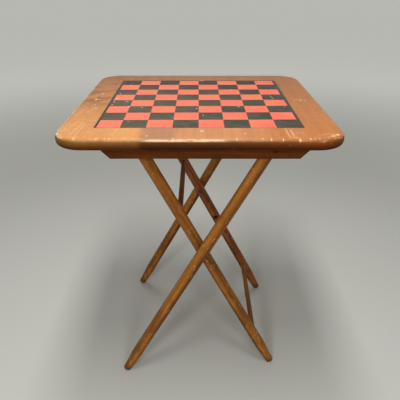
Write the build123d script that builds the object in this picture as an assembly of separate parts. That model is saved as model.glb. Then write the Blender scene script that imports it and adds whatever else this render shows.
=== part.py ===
from build123d import *
import math
import os

# Folding game table: a square top on crossed dowel legs.
# Lengths are in millimetres. X runs to the right, Y to the rear and Z up.
# The origin is on the floor under the middle of the top, with the table set up.
# The outer legs stand at lower left and carry the top's pivot at upper right.
# The inner legs stand at lower right and hold up the top's left side.

# Top board
table_height = 641.0
top_length = 528.0
top_width = 527.0
top_thickness = 22.0
top_corner_radius = 55.0
top_arris_radius = 9.5
underside_edge_radius = 8.5

# Legs
leg_diameter = 25.0
foot_diameter = 18.0
foot_taper_length = 60.0
foot_edge_break = 3.0
leg_end_length = 12.0
leg_end_break = 2.0
foot_wear_depth = 0.8
outer_foot_reach = 184.5
inner_foot_reach = 182.3
cross_height = 344.3
cross_shift = 3.4
pivot_drop = 19.3
leg_swing_clearance = 1.5

# Rungs between the inner legs, placed along the leg from the crossing
rung_diameter = 12.5
top_rung_diameter = 16.0
upper_rung_rise = 99.7
lost_rung_drop = 94.0
lower_rung_drop = 283.2
rung_socket_depth = 16.0
rung_end_clearance = 0.3
glue_clearance = 0.05

# Battens under the top
batten_height = 34.0
batten_thickness = 18.0
batten_setback = 55.0
batten_left_overhang = 66.0
batten_right_overhang = 55.0
batten_end_cut = 22.0
batten_edge_break = 1.0
batten_screw_count = 2
batten_screw_margin = 30.0
batten_screw_head_depth = 20.0

# Stop cleats under the top
cleat_thickness = 19.0
cleat_leg_clearance = 2.0
cleat_left_length = 36.0
cleat_right_length = 37.0
cleat_lip_depth = 5.0
cleat_corner_cut = 8.0
cleat_edge_break = 0.8
cleat_seat_clearance = 0.3
cleat_screw_margin = 10.0
cleat_screw_head_depth = 14.0

# Washers and running fits
washer_thickness = 0.8
washer_face_clearance = 0.1
washer_bore_clearance = 0.2
washer_rim = 4.5
head_washer_rim = 3.4
running_clearance = 0.05

# Pivot screw of the top
pivot_screw_diameter = 5.0
pivot_head_diameter = 7.6
pivot_head_height = 3.0
pivot_head_recess = 2.5
pivot_head_clearance = 0.3
pivot_thread_depth = 16.0

# Crossing screw of the legs
cross_screw_diameter = 5.0
cross_head_diameter = 9.5
cross_head_height = 3.2
cross_thread_depth = 17.0
cross_spot_depth = 1.8
cross_spot_clearance = 0.3

# Wood screws that hold the battens and cleats
wood_screw_diameter = 4.0
wood_head_diameter = 8.0
wood_head_cone_height = 2.4
wood_head_clearance = 0.4
wood_thread_depth = 12.0

# Shape of every screw
screw_tip_length = 3.0
screw_hole_spare = 0.8
slot_width_share = 0.14
slot_depth_share = 0.45
head_bevel_share = 0.5

# Length by which each cut passes the face that it opens
overrun = 5.0

# Levels, ends and tilts that follow from the sizes above
FRONT = -1
REAR = 1
underside_height = table_height - top_thickness
leg_radius = leg_diameter / 2
pivot_height = underside_height - pivot_drop
outer_tilt = math.atan2(outer_foot_reach + cross_shift, cross_height)
inner_tilt = math.atan2(inner_foot_reach - cross_shift, cross_height)
pivot_x = pivot_height * math.tan(outer_tilt) - outer_foot_reach
batten_left = batten_left_overhang - top_length / 2
batten_right = top_length / 2 - batten_right_overhang

# Distances along each leg from the point where its axis meets the floor
outer_to_cross = cross_height / math.cos(outer_tilt)
outer_to_pivot = pivot_height / math.cos(outer_tilt)
inner_to_cross = cross_height / math.cos(inner_tilt)
inner_reach = underside_height - leg_swing_clearance - cross_height
top_rung_rise = math.sqrt(inner_reach ** 2 - leg_radius ** 2) - leg_end_length
inner_to_top_rung = inner_to_cross + top_rung_rise

# Planes across the table, from its centre line
washer_gap = washer_thickness + 2 * washer_face_clearance
batten_outer_face = top_width / 2 - batten_setback
batten_inner_face = batten_outer_face - batten_thickness
outer_leg_offset = batten_inner_face - washer_gap - leg_radius
inner_leg_offset = outer_leg_offset - leg_diameter - washer_gap
cleat_outer_face = inner_leg_offset - leg_radius - cleat_leg_clearance
cleat_inner_face = cleat_outer_face - cleat_thickness
batten_middle = (batten_inner_face + batten_outer_face) / 2
cleat_middle = (cleat_inner_face + cleat_outer_face) / 2
head_washer_diameter = cross_screw_diameter + 2 * head_washer_rim

# The top rung's axis, seen from the front
top_rung_x = cross_shift - top_rung_rise * math.sin(inner_tilt)
top_rung_height = cross_height + top_rung_rise * math.cos(inner_tilt)


def bar_along_y(diameter, y_start, y_end):
    """A round bar on the Y axis between two places along it."""
    bar = Cylinder(diameter / 2, abs(y_end - y_start))
    return Pos(0, (y_start + y_end) / 2, 0) * Rot(90, 0, 0) * bar


def bar_along_z(diameter, z_start, z_end):
    """A round bar on the Z axis between two heights."""
    return Pos(0, 0, (z_start + z_end) / 2) * Cylinder(diameter / 2, abs(z_end - z_start))


def screw(diameter, head_diameter, head_height, length):
    """A round-headed screw along Z with its head up and the head's seat at the origin."""
    radius = diameter / 2
    head_radius = head_diameter / 2
    head_bevel = head_height * head_bevel_share
    profile = Polyline(
        (0, head_height),
        (0, -length),
        (radius, screw_tip_length - length),
        (radius, 0),
        (head_radius, 0),
        (head_radius, head_height - head_bevel),
        (head_radius - head_bevel, head_height),
        close=True,
    )
    body = revolve(Plane.XZ * make_face(profile), Axis.Z)
    slot_depth = head_height * slot_depth_share
    slot = Box(head_diameter + overrun, head_diameter * slot_width_share, slot_depth + overrun)
    return body - Pos(0, 0, head_height + (overrun - slot_depth) / 2) * slot


def wood_screw(length):
    """A countersunk wood screw along Z, driven up, with its flat head at the origin."""
    radius = wood_screw_diameter / 2
    head_radius = wood_head_diameter / 2
    profile = Polyline(
        (0, 0),
        (head_radius, 0),
        (radius, wood_head_cone_height),
        (radius, length - screw_tip_length),
        (0, length),
        close=True,
    )
    slot_depth = wood_head_cone_height * slot_depth_share
    slot = Box(wood_head_diameter + overrun, wood_head_diameter * slot_width_share, 2 * slot_depth)
    return revolve(Plane.XZ * make_face(profile), Axis.Z) - slot


def washer(bore_diameter, rim_diameter, thickness):
    """A flat washer on the Y axis, centred on the origin."""
    ring = bar_along_y(rim_diameter, -thickness / 2, thickness / 2)
    return ring - bar_along_y(bore_diameter, -thickness, thickness)


def facing(side, outward):
    """The turn that points a screw's head out of the table or in towards its middle."""
    turn = -90 * side
    return Rot(turn, 0, 0) if outward else Rot(-turn, 0, 0)


def leg_blank(tilt, last_pivot):
    """A dowel leg along Z: tapered foot at the bottom, square end beyond its last pivot."""
    foot_radius = foot_diameter / 2
    flat_radius = foot_radius - foot_edge_break
    foot_end = (flat_radius * math.sin(tilt) - foot_wear_depth) / math.cos(tilt)
    top_end = last_pivot + leg_end_length
    profile = Polyline(
        (0, foot_end),
        (flat_radius, foot_end),
        (foot_radius, foot_end + foot_edge_break),
        (leg_radius, foot_end + foot_taper_length),
        (leg_radius, top_end - leg_end_break),
        (leg_radius - leg_end_break, top_end),
        (0, top_end),
        close=True,
    )
    return revolve(Plane.XZ * make_face(profile), Axis.Z)


def standing(leg, foot_x, foot_y, lean):
    """The leg leaned over at its place, with its foot worn level with the floor."""
    leg = Pos(foot_x, foot_y, 0) * Rot(0, math.degrees(lean), 0) * leg
    floor_block = Box(4 * leg_diameter, 4 * leg_diameter, leg_diameter)
    return leg - Pos(foot_x, foot_y, -leg_radius) * floor_block


def outer_leg(side):
    """An outer leg, with the blind thread holes of its two pivots."""
    leg = leg_blank(outer_tilt, outer_to_pivot)
    outside = side * (leg_radius + overrun)
    pivot_floor = side * (leg_radius - pivot_thread_depth - screw_hole_spare)
    cross_floor = side * (cross_thread_depth + screw_hole_spare - leg_radius)
    pivot_hole = bar_along_y(pivot_screw_diameter + 2 * running_clearance, outside, pivot_floor)
    cross_hole = bar_along_y(cross_screw_diameter + 2 * running_clearance, -outside, cross_floor)
    leg -= Pos(0, 0, outer_to_pivot) * pivot_hole
    leg -= Pos(0, 0, outer_to_cross) * cross_hole
    return standing(leg, -outer_foot_reach, side * outer_leg_offset, outer_tilt)


def inner_leg(side):
    """An inner leg, with its rung sockets, one of them empty, and its pivot bore."""
    leg = leg_blank(inner_tilt, inner_to_top_rung)
    inside = -side * (leg_radius + overrun)
    socket_floor = -side * (leg_radius - rung_socket_depth)
    rung_socket = bar_along_y(rung_diameter + 2 * glue_clearance, inside, socket_floor)
    top_socket = bar_along_y(top_rung_diameter + 2 * glue_clearance, inside, socket_floor)
    for rise in (upper_rung_rise, -lost_rung_drop, -lower_rung_drop):
        leg -= Pos(0, 0, inner_to_cross + rise) * rung_socket
    leg -= Pos(0, 0, inner_to_top_rung) * top_socket
    bore = bar_along_y(cross_screw_diameter + 2 * running_clearance, inside, -inside)
    spot_diameter = head_washer_diameter + 2 * cross_spot_clearance
    spot_face = bar_along_y(spot_diameter, inside, -side * (leg_radius - cross_spot_depth))
    leg -= Pos(0, 0, inner_to_cross) * bore
    leg -= Pos(0, 0, inner_to_cross) * spot_face
    return standing(leg, inner_foot_reach, side * inner_leg_offset, -inner_tilt)


def rung(diameter, rise):
    """A rung between the inner legs, glued into its sockets."""
    half = inner_leg_offset - leg_radius + rung_socket_depth - rung_end_clearance
    x = cross_shift - rise * math.sin(inner_tilt)
    z = cross_height + rise * math.cos(inner_tilt)
    return Pos(x, 0, z) * bar_along_y(diameter, -half, half)


def top_pivot_screw(side):
    """The screw that the top turns on, sunk in the batten and fast in the outer leg."""
    seat = batten_outer_face - pivot_head_recess - pivot_head_height
    tip = outer_leg_offset + leg_radius - pivot_thread_depth
    body = screw(pivot_screw_diameter, pivot_head_diameter, pivot_head_height, seat - tip)
    return Pos(pivot_x, side * seat, pivot_height) * facing(side, True) * body


def cross_screw(side):
    """The screw that the legs cross on, driven from the inner leg's inner side."""
    floor_of_spot = inner_leg_offset - leg_radius + cross_spot_depth
    seat = floor_of_spot - washer_gap
    tip = outer_leg_offset - leg_radius + cross_thread_depth
    body = screw(cross_screw_diameter, cross_head_diameter, cross_head_height, tip - seat)
    return Pos(cross_shift, side * seat, cross_height) * facing(side, False) * body


def top_washer(side):
    """The washer between the batten and the outer leg."""
    bore = pivot_screw_diameter + 2 * washer_bore_clearance
    middle = outer_leg_offset + leg_radius + washer_gap / 2
    ring = washer(bore, pivot_screw_diameter + 2 * washer_rim, washer_thickness)
    return Pos(pivot_x, side * middle, pivot_height) * ring


def cross_washer(side):
    """The washer between the crossing legs."""
    bore = cross_screw_diameter + 2 * washer_bore_clearance
    middle = outer_leg_offset - leg_radius - washer_gap / 2
    ring = washer(bore, cross_screw_diameter + 2 * washer_rim, washer_thickness)
    return Pos(cross_shift, side * middle, cross_height) * ring


def head_washer(side):
    """The washer under the crossing screw's head, in the inner leg's spot face."""
    bore = cross_screw_diameter + 2 * washer_bore_clearance
    middle = inner_leg_offset - leg_radius + cross_spot_depth - washer_gap / 2
    ring = washer(bore, head_washer_diameter, washer_thickness)
    return Pos(cross_shift, side * middle, cross_height) * ring


def batten_screw_places():
    """Where the screws stand along a batten, clear of its cut ends and its pivot."""
    first = batten_left + batten_end_cut + batten_screw_margin
    last = pivot_x - batten_screw_margin
    step = (last - first) / (batten_screw_count - 1)
    return [first + step * index for index in range(batten_screw_count)]


def cleat_screw_places():
    """Where the two screws stand along a cleat."""
    wall = top_rung_x - top_rung_diameter / 2 - cleat_seat_clearance
    return [wall - cleat_left_length + cleat_screw_margin, wall + cleat_right_length - cleat_screw_margin]


def screw_way(head_level, bottom_height):
    """The bore, countersink and deep head hole of a screw driven up from below."""
    bore_radius = wood_screw_diameter / 2 + running_clearance
    head_radius = wood_head_diameter / 2 + wood_head_clearance
    cone_slope = wood_head_cone_height / (wood_head_diameter - wood_screw_diameter) * 2
    sink_height = (head_radius - bore_radius) * cone_slope
    sink = Pos(0, 0, head_level + sink_height / 2) * Cone(head_radius, bore_radius, sink_height)
    bore = bar_along_z(2 * bore_radius, head_level, underside_height + overrun)
    return bore + sink + bar_along_z(2 * head_radius, bottom_height - overrun, head_level)


def batten(side):
    """A batten with its ends cut away below, its pivot bore and its screw holes."""
    bottom = underside_height - batten_height
    profile = make_face(Polyline(
        (batten_left, underside_height),
        (batten_right, underside_height),
        (batten_right - batten_end_cut, bottom),
        (batten_left + batten_end_cut, bottom),
        close=True,
    ))
    body = Pos(0, batten_outer_face, 0) * extrude(Plane.XZ * profile, batten_thickness)
    lower_edges = body.edges().filter_by(Axis.X).group_by(Axis.Z)[0]
    body = chamfer(lower_edges, batten_edge_break)
    if side == FRONT:
        body = mirror(body, Plane.XZ)
    bore = bar_along_y(
        pivot_screw_diameter + 2 * running_clearance,
        side * (batten_inner_face - overrun),
        side * (batten_outer_face + overrun),
    )
    sunk_depth = pivot_head_recess + pivot_head_height + washer_face_clearance
    head_bore = bar_along_y(
        pivot_head_diameter + 2 * pivot_head_clearance,
        side * (batten_outer_face - sunk_depth),
        side * (batten_outer_face + overrun),
    )
    body -= Pos(pivot_x, 0, pivot_height) * bore
    body -= Pos(pivot_x, 0, pivot_height) * head_bore
    way = screw_way(underside_height - batten_screw_head_depth, bottom)
    for x in batten_screw_places():
        body -= Pos(x, side * batten_middle, 0) * way
    return body


def stop_cleat(side):
    """A cleat with a bird's mouth: an upright wall and a sloping seat for the top rung.

    The wall stops the legs from spreading. The seat slopes square to the inner leg, so the
    rung leaves it freely to the right, and the top lifts off it.
    """
    hold = top_rung_diameter / 2 + cleat_seat_clearance
    wall_x = top_rung_x - hold
    seat_slope = math.tan(inner_tilt)
    contact_x = top_rung_x - hold * math.sin(inner_tilt)
    contact_z = top_rung_height + hold * math.cos(inner_tilt)
    left_x = wall_x - cleat_left_length
    right_x = wall_x + cleat_right_length
    bottom = top_rung_height - cleat_lip_depth
    profile = make_face(Polyline(
        (left_x, underside_height),
        (right_x, underside_height),
        (right_x, contact_z + (right_x - contact_x) * seat_slope),
        (wall_x, contact_z + (wall_x - contact_x) * seat_slope),
        (wall_x, bottom),
        (left_x + cleat_corner_cut, bottom),
        (left_x, bottom + cleat_corner_cut),
        close=True,
    ))
    body = Pos(0, cleat_outer_face, 0) * extrude(Plane.XZ * profile, cleat_thickness)
    lower_edges = body.edges().filter_by(Axis.X).group_by(Axis.Z)[0]
    body = chamfer(lower_edges, cleat_edge_break)
    if side == FRONT:
        body = mirror(body, Plane.XZ)
    way = screw_way(underside_height - cleat_screw_head_depth, bottom)
    for x in cleat_screw_places():
        body -= Pos(x, side * cleat_middle, 0) * way
    return body


def wood_screws(places, across, head_depth):
    """Equal screws driven up into the top, in a front row and a rear row."""
    body = wood_screw(head_depth + wood_thread_depth)
    level = underside_height - head_depth
    return [Pos(x, side * across, level) * body for side in (FRONT, REAR) for x in places]


def top_board():
    """The square top with round corners, rounded edges and the screws' pilot holes."""
    outline = RectangleRounded(top_length, top_width, top_corner_radius)
    board = Pos(0, 0, underside_height) * extrude(outline, top_thickness)
    board = fillet(board.edges().group_by(Axis.Z)[-1], top_arris_radius)
    board = fillet(board.edges().group_by(Axis.Z)[0], underside_edge_radius)
    pilot = bar_along_z(
        wood_screw_diameter + 2 * running_clearance,
        underside_height - overrun,
        underside_height + wood_thread_depth + screw_hole_spare,
    )
    for places, across in ((batten_screw_places(), batten_middle), (cleat_screw_places(), cleat_middle)):
        for x in places:
            for side in (FRONT, REAR):
                board -= Pos(x, side * across, 0) * pilot
    return board


def build_parts():
    """Every piece of the table by name."""
    parts = {
        "top_board": top_board(),
        "batten_screws": Compound(wood_screws(batten_screw_places(), batten_middle, batten_screw_head_depth)),
        "cleat_screws": Compound(wood_screws(cleat_screw_places(), cleat_middle, cleat_screw_head_depth)),
        "top_rung": rung(top_rung_diameter, top_rung_rise),
        "upper_rung": rung(rung_diameter, upper_rung_rise),
        "lower_rung": rung(rung_diameter, -lower_rung_drop),
    }
    for name, side in (("front", FRONT), ("rear", REAR)):
        parts[name + "_batten"] = batten(side)
        parts[name + "_stop_cleat"] = stop_cleat(side)
        parts[name + "_outer_leg"] = outer_leg(side)
        parts[name + "_inner_leg"] = inner_leg(side)
        parts[name + "_top_pivot_screw"] = top_pivot_screw(side)
        parts[name + "_top_washer"] = top_washer(side)
        parts[name + "_cross_screw"] = cross_screw(side)
        parts[name + "_cross_washer"] = cross_washer(side)
        parts[name + "_head_washer"] = head_washer(side)
    return parts


os.makedirs("parts", exist_ok=True)
for node, solid in build_parts().items():
    export_step(solid, f"parts/{node}.step")
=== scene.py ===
import logging
import math
import random
from dataclasses import dataclass
from enum import Enum

import bmesh
import bpy
from mathutils import Matrix, Vector, noise


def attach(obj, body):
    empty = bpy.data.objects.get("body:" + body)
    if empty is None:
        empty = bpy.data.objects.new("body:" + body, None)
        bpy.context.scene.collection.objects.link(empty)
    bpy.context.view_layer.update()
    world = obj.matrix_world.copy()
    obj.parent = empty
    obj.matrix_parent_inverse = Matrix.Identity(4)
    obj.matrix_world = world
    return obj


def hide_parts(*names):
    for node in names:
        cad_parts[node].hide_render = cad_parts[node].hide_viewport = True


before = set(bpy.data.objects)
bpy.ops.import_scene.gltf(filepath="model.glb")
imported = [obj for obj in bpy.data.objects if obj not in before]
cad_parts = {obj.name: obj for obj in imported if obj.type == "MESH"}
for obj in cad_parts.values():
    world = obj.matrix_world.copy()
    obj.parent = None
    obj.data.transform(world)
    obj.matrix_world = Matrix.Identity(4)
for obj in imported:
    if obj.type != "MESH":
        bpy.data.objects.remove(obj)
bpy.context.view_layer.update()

TINY = 1e-6
ORIGIN = (0.0, 0.0, 0.0)
MARK_REACH = 2.0
CHIP_HALF_HEIGHT = 0.005
EDGE_EASE = 0.0002
SMOOTH_ANGLE = math.radians(38)
ROUNDING = {"affect": "EDGES", "profile": 0.5, "material": -1, "clamp_overlap": True}
log = logging.getLogger("game_table")

Socket = bpy.types.NodeSocket
Colour = tuple[float, float, float, float]
Place = tuple[float, float, float]
Spot = tuple[float, float]
Profile = list[Spot]
Lines = tuple[float, ...]
Stops = tuple[tuple[float, Colour], ...]


class Body(Enum):
    """The frame's moving bodies."""

    TOP = "top"
    OUTER_LEGS = "outer_legs"
    INNER_FRAME = "inner_frame"


class Slot(Enum):
    """The record's material slots."""

    TOP_WOOD = "top_wood"
    BATTEN_WOOD = "batten_wood"
    CLEAT_WOOD = "cleat_wood"
    LEG_WOOD = "leg_wood"
    RUNG_WOOD = "rung_wood"
    SCREW_STEEL = "screw_steel"
    WASHER_STEEL = "washer_steel"


class Side(Enum):
    """The front and the rear half of the table, by the sign of Y."""

    FRONT = -1
    REAR = 1

    @property
    def word(self) -> str:
        """The side's name as the CAD nodes spell it."""
        return self.name.lower()

    @property
    def index(self) -> int:
        """0 for the front and 1 for the rear."""
        return (self.value + 1) // 2


class Effect(Enum):
    """The shader effects that several finishes share."""

    GRAIN = "wood_grain"
    SCRATCHES = "fine_scratches"
    FLECKS = "small_nicks"
    BLOTCHES = "uneven_varnish"
    MARK = "single_mark"
    RIM = "distance_from_rim"


def tone(red: int, green: int, blue: int) -> Colour:
    """Turns a colour on the 0 to 255 scale of a screen into the shader's linear one.

    Args:
        red: Red part, 0 to 255.
        green: Green part, 0 to 255.
        blue: Blue part, 0 to 255.

    Returns:
        The linear colour with full alpha.
    """
    shares = [part / 255 for part in (red, green, blue)]
    linear = [s / 12.92 if s <= 0.04045 else ((s + 0.055) / 1.055) ** 2.4 for s in shares]
    return (*linear, 1.0)


@dataclass(frozen=True)
class Layout:
    """The table's driving sizes, and the places that follow from them.

    A head's two numbers are its diameter and height, a head bore's its diameter and depth.
    """

    table_height: float = 0.641
    top_length: float = 0.528
    top_width: float = 0.527
    top_thickness: float = 0.022
    top_corner: float = 0.055
    top_arris: float = 0.0095
    under_edge: float = 0.0085
    leg_diameter: float = 0.025
    foot_diameter: float = 0.018
    foot_taper: float = 0.060
    foot_edge: float = 0.003
    foot_wear: float = 0.0008
    leg_end: float = 0.012
    leg_end_round: float = 0.002
    outer_reach: float = 0.1845
    inner_reach: float = 0.1823
    cross_height: float = 0.3443
    cross_shift: float = 0.0034
    pivot_drop: float = 0.0193
    swing_clearance: float = 0.0015
    rung_diameter: float = 0.0125
    top_rung_diameter: float = 0.016
    upper_rung_rise: float = 0.0997
    lost_rung_drop: float = 0.094
    lower_rung_drop: float = 0.2832
    socket_depth: float = 0.016
    rung_clearance: float = 0.0003
    glue_gap: float = 0.00005
    batten_height: float = 0.0355
    batten_thickness: float = 0.018
    batten_setback: float = 0.055
    batten_left_overhang: float = 0.0590
    batten_right_overhang: float = 0.0385
    batten_end_cut: float = 0.0355
    batten_first_screw: float = 0.118
    batten_screw_margin: float = 0.030
    batten_head_depth: float = 0.020
    cleat_thickness: float = 0.019
    cleat_gap: float = 0.002
    cleat_left: float = 0.036
    cleat_right: float = 0.037
    cleat_lip: float = 0.005
    cleat_corner_cut: float = 0.008
    cleat_seat_gap: float = 0.0003
    cleat_screw_margin: float = 0.010
    cleat_head_depth: float = 0.014
    washer_thickness: float = 0.0008
    washer_face_gap: float = 0.0001
    batten_ease: float = 0.0009
    cleat_ease: float = 0.0006
    washer_bore: float = 0.0054
    washer_rim: float = 0.014
    head_washer_rim: float = 0.0118
    spot_face: float = 0.0124
    spot_depth: float = 0.0018
    screw_diameter: float = 0.005
    screw_bore: float = 0.0051
    pivot_head: Spot = (0.0076, 0.003)
    pivot_seat_depth: float = 0.0055
    pivot_head_bore: Spot = (0.0082, 0.0056)
    pivot_reach: float = 0.016
    pivot_hole: float = 0.0168
    cross_head: Spot = (0.0095, 0.0032)
    cross_reach: float = 0.017
    cross_hole: float = 0.0178
    pilot_bore: float = 0.0041
    pilot_depth: float = 0.0128
    way_radius: float = 0.00205
    head_way_radius: float = 0.0044
    head_way_cone: float = 0.00282

    @property
    def underside(self) -> float:
        """Height of the board's lower face."""
        return self.table_height - self.top_thickness

    @property
    def leg_radius(self) -> float:
        """Half the thickness of a leg."""
        return self.leg_diameter / 2

    @property
    def outer_tilt(self) -> float:
        """Lean of the outer legs, to the right going up."""
        return math.atan2(self.outer_reach + self.cross_shift, self.cross_height)

    @property
    def inner_tilt(self) -> float:
        """Lean of the inner legs, to the left going up."""
        return math.atan2(self.inner_reach - self.cross_shift, self.cross_height)

    @property
    def pivot_height(self) -> float:
        """Height of the screws that the top turns on."""
        return self.underside - self.pivot_drop

    @property
    def pivot_x(self) -> float:
        """Place across the table of the screws that the top turns on."""
        return self.pivot_height * math.tan(self.outer_tilt) - self.outer_reach

    @property
    def outer_to_cross(self) -> float:
        """Length along an outer leg from the floor to the crossing."""
        return self.cross_height / math.cos(self.outer_tilt)

    @property
    def outer_to_pivot(self) -> float:
        """Length along an outer leg from the floor to the top's pivot."""
        return self.pivot_height / math.cos(self.outer_tilt)

    @property
    def inner_to_cross(self) -> float:
        """Length along an inner leg from the floor to the crossing."""
        return self.cross_height / math.cos(self.inner_tilt)

    @property
    def top_rung_rise(self) -> float:
        """Length along an inner leg from the crossing to the top rung."""
        reach = self.underside - self.swing_clearance - self.cross_height
        return math.sqrt(reach**2 - self.leg_radius**2) - self.leg_end

    @property
    def washer_gap(self) -> float:
        """Room that a washer takes with its running clearance."""
        return self.washer_thickness + 2 * self.washer_face_gap

    @property
    def batten_outer(self) -> float:
        """Distance of a batten's outer face from the centre line."""
        return self.top_width / 2 - self.batten_setback

    @property
    def batten_inner(self) -> float:
        """Distance of a batten's inner face from the centre line."""
        return self.batten_outer - self.batten_thickness

    @property
    def outer_leg_y(self) -> float:
        """Distance of an outer leg's axis from the centre line."""
        return self.batten_inner - self.washer_gap - self.leg_radius

    @property
    def inner_leg_y(self) -> float:
        """Distance of an inner leg's axis from the centre line."""
        return self.outer_leg_y - self.leg_diameter - self.washer_gap

    @property
    def cleat_outer(self) -> float:
        """Distance of a cleat's outer face from the centre line."""
        return self.inner_leg_y - self.leg_radius - self.cleat_gap

    @property
    def top_rung(self) -> tuple[float, float]:
        """Place across and height of the top rung's axis."""
        return self.on_inner_leg(self.top_rung_rise)

    @property
    def batten_middle(self) -> float:
        """Distance of a batten's middle from the centre line."""
        return self.batten_outer - self.batten_thickness / 2

    @property
    def cleat_middle(self) -> float:
        """Distance of a cleat's middle from the centre line."""
        return self.cleat_outer - self.cleat_thickness / 2

    @property
    def batten_screws(self) -> list[float]:
        """Places across the table of a batten's wood screws."""
        return [self.batten_first_screw - self.top_length / 2, self.pivot_x - self.batten_screw_margin]

    @property
    def cleat_screws(self) -> list[float]:
        """Places across the table of a cleat's wood screws."""
        wall = self.top_rung[0] - self.top_rung_diameter / 2 - self.cleat_seat_gap
        return [
            wall - self.cleat_left + self.cleat_screw_margin,
            wall + self.cleat_right - self.cleat_screw_margin,
        ]

    def on_inner_leg(self, rise: float) -> tuple[float, float]:
        """Finds a point on the inner legs' axis.

        Args:
            rise: Length along the leg, upwards from the crossing.

        Returns:
            The place across the table and the height.
        """
        across = self.cross_shift - rise * math.sin(self.inner_tilt)
        return across, self.cross_height + rise * math.cos(self.inner_tilt)


class NodeSheet:
    """A node tree with short calls for the nodes that the finishes use."""

    def __init__(self, tree: bpy.types.NodeTree) -> None:
        """Takes the tree to draw in."""
        self.tree = tree

    def fill(self, node: bpy.types.Node, inputs: dict) -> bpy.types.Node:
        """Links a socket to an input, or sets a value on it, for each input given.

        Args:
            node: The node.
            inputs: A value or a socket for each input, by name or number.

        Returns:
            The node.
        """
        for key, value in inputs.items():
            if isinstance(value, Socket):
                self.tree.links.new(value, node.inputs[key])
            else:
                node.inputs[key].default_value = value
        return node

    def add(self, kind: str, inputs: dict | None = None, **settings: object) -> bpy.types.Node:
        """Adds a node.

        Args:
            kind: The node's type, without its ShaderNode prefix.
            inputs: A value or a socket for each input, by name or number.
            settings: The node's own options.

        Returns:
            The new node.
        """
        node = self.tree.nodes.new("ShaderNode" + kind)
        for option, value in settings.items():
            setattr(node, option, value)
        return self.fill(node, inputs or {})

    def math(self, operation: str, *values: Socket | float) -> Socket:
        """Works out one number from others."""
        return self.add("Math", dict(enumerate(values)), operation=operation).outputs[0]

    def times(self, first: Socket, *others: Socket | float) -> Socket:
        """Multiplies numbers, such as masks that all have to hold."""
        for other in others:
            first = self.math("MULTIPLY", first, other)
        return first

    def strongest(self, masks: list[Socket]) -> Socket:
        """The strongest of several masks."""
        result = masks[0]
        for mask in masks[1:]:
            result = self.math("MAXIMUM", result, mask)
        return result

    def parts(self, vector: Socket) -> bpy.types.NodeOutputs:
        """The X, Y and Z of a vector."""
        return self.add("SeparateXYZ", {0: vector}).outputs

    def step(self, value: Socket, low: float, high: float) -> Socket:
        """Rises softly from 0 to 1 while the value goes from low to high.

        Args:
            value: The value.
            low: Where it is 0.
            high: Where it is 1, which may be below low.

        Returns:
            The mask.
        """
        inputs = {0: value, 1: low, 2: high}
        if low > high:
            inputs = {0: value, 1: high, 2: low, 3: 1.0, 4: 0.0}
        return self.add("MapRange", inputs, interpolation_type="SMOOTHSTEP").outputs[0]

    def between(self, share: Socket, low: float, high: float) -> Socket:
        """Turns a mask into a number between two others."""
        return self.add("MapRange", {0: share, 3: low, 4: high}).outputs[0]

    def blend(
        self,
        mask: Socket,
        under: Socket | Colour,
        over: Socket | Colour,
        strength: float = 1.0,
        mode: str = "MIX",
    ) -> Socket:
        """Lays one colour over another.

        Args:
            mask: Where the upper colour lies.
            under: The lower colour.
            over: The upper colour.
            strength: How much of the upper colour the mask lets through.
            mode: How the two are mixed.

        Returns:
            The mixed colour.
        """
        share = mask if strength == 1.0 else self.times(mask, strength)
        return self.add("Mix", {0: share, 6: under, 7: over}, data_type="RGBA", blend_type=mode).outputs[2]

    def tint(self, mask: Socket, under: Socket, over: Socket | Colour, strength: float = 1.0) -> Socket:
        """Multiplies one colour by another where a mask says."""
        return self.blend(mask, under, over, strength, "MULTIPLY")

    def cloud(
        self,
        vector: Socket,
        scale: Socket | float,
        detail: float = 2.0,
        rough: float = 0.5,
        twist: float = 0.0,
    ) -> Socket:
        """A soft noise about 0.5."""
        inputs = {"Vector": vector, "Scale": scale, "Detail": detail, "Roughness": rough, "Distortion": twist}
        return self.add("TexNoise", inputs).outputs[0]

    def stretched(self, vector: Socket, scale: Place) -> Socket:
        """Coordinates stretched along the axes."""
        return self.add("Mapping", {"Vector": vector, "Scale": scale}).outputs[0]

    def ramp(self, value: Socket, stops: Stops) -> Socket:
        """Colours by a value, between the stops given.

        Args:
            value: The value.
            stops: Each stop's value and colour, in rising order.

        Returns:
            The colour.
        """
        node = self.add("ValToRGB", {0: value})
        elements = node.color_ramp.elements
        elements[0].position, elements[0].color = stops[0]
        elements[1].position, elements[1].color = stops[-1]
        for position, colour in stops[1:-1]:
            elements.new(position).color = colour
        return node.outputs[0]

    def effect(self, kind: Effect, inputs: dict) -> bpy.types.NodeOutputs:
        """Places a shared effect in this tree and hands back its outputs."""
        node = self.tree.nodes.new("ShaderNodeGroup")
        node.node_tree = bpy.data.node_groups[kind.value]
        return self.fill(node, inputs).outputs

    def mask(self, kind: Effect, vector: Socket, **values: float) -> Socket:
        """Places a shared effect that puts out one mask.

        Args:
            kind: Which effect it is.
            vector: The coordinates that it is laid out on.
            values: Its other inputs, by their names in small letters.

        Returns:
            The mask.
        """
        named = {word.capitalize(): value for word, value in values.items()}
        return self.effect(kind, {"Vector": vector, **named})["Mask"]


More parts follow.
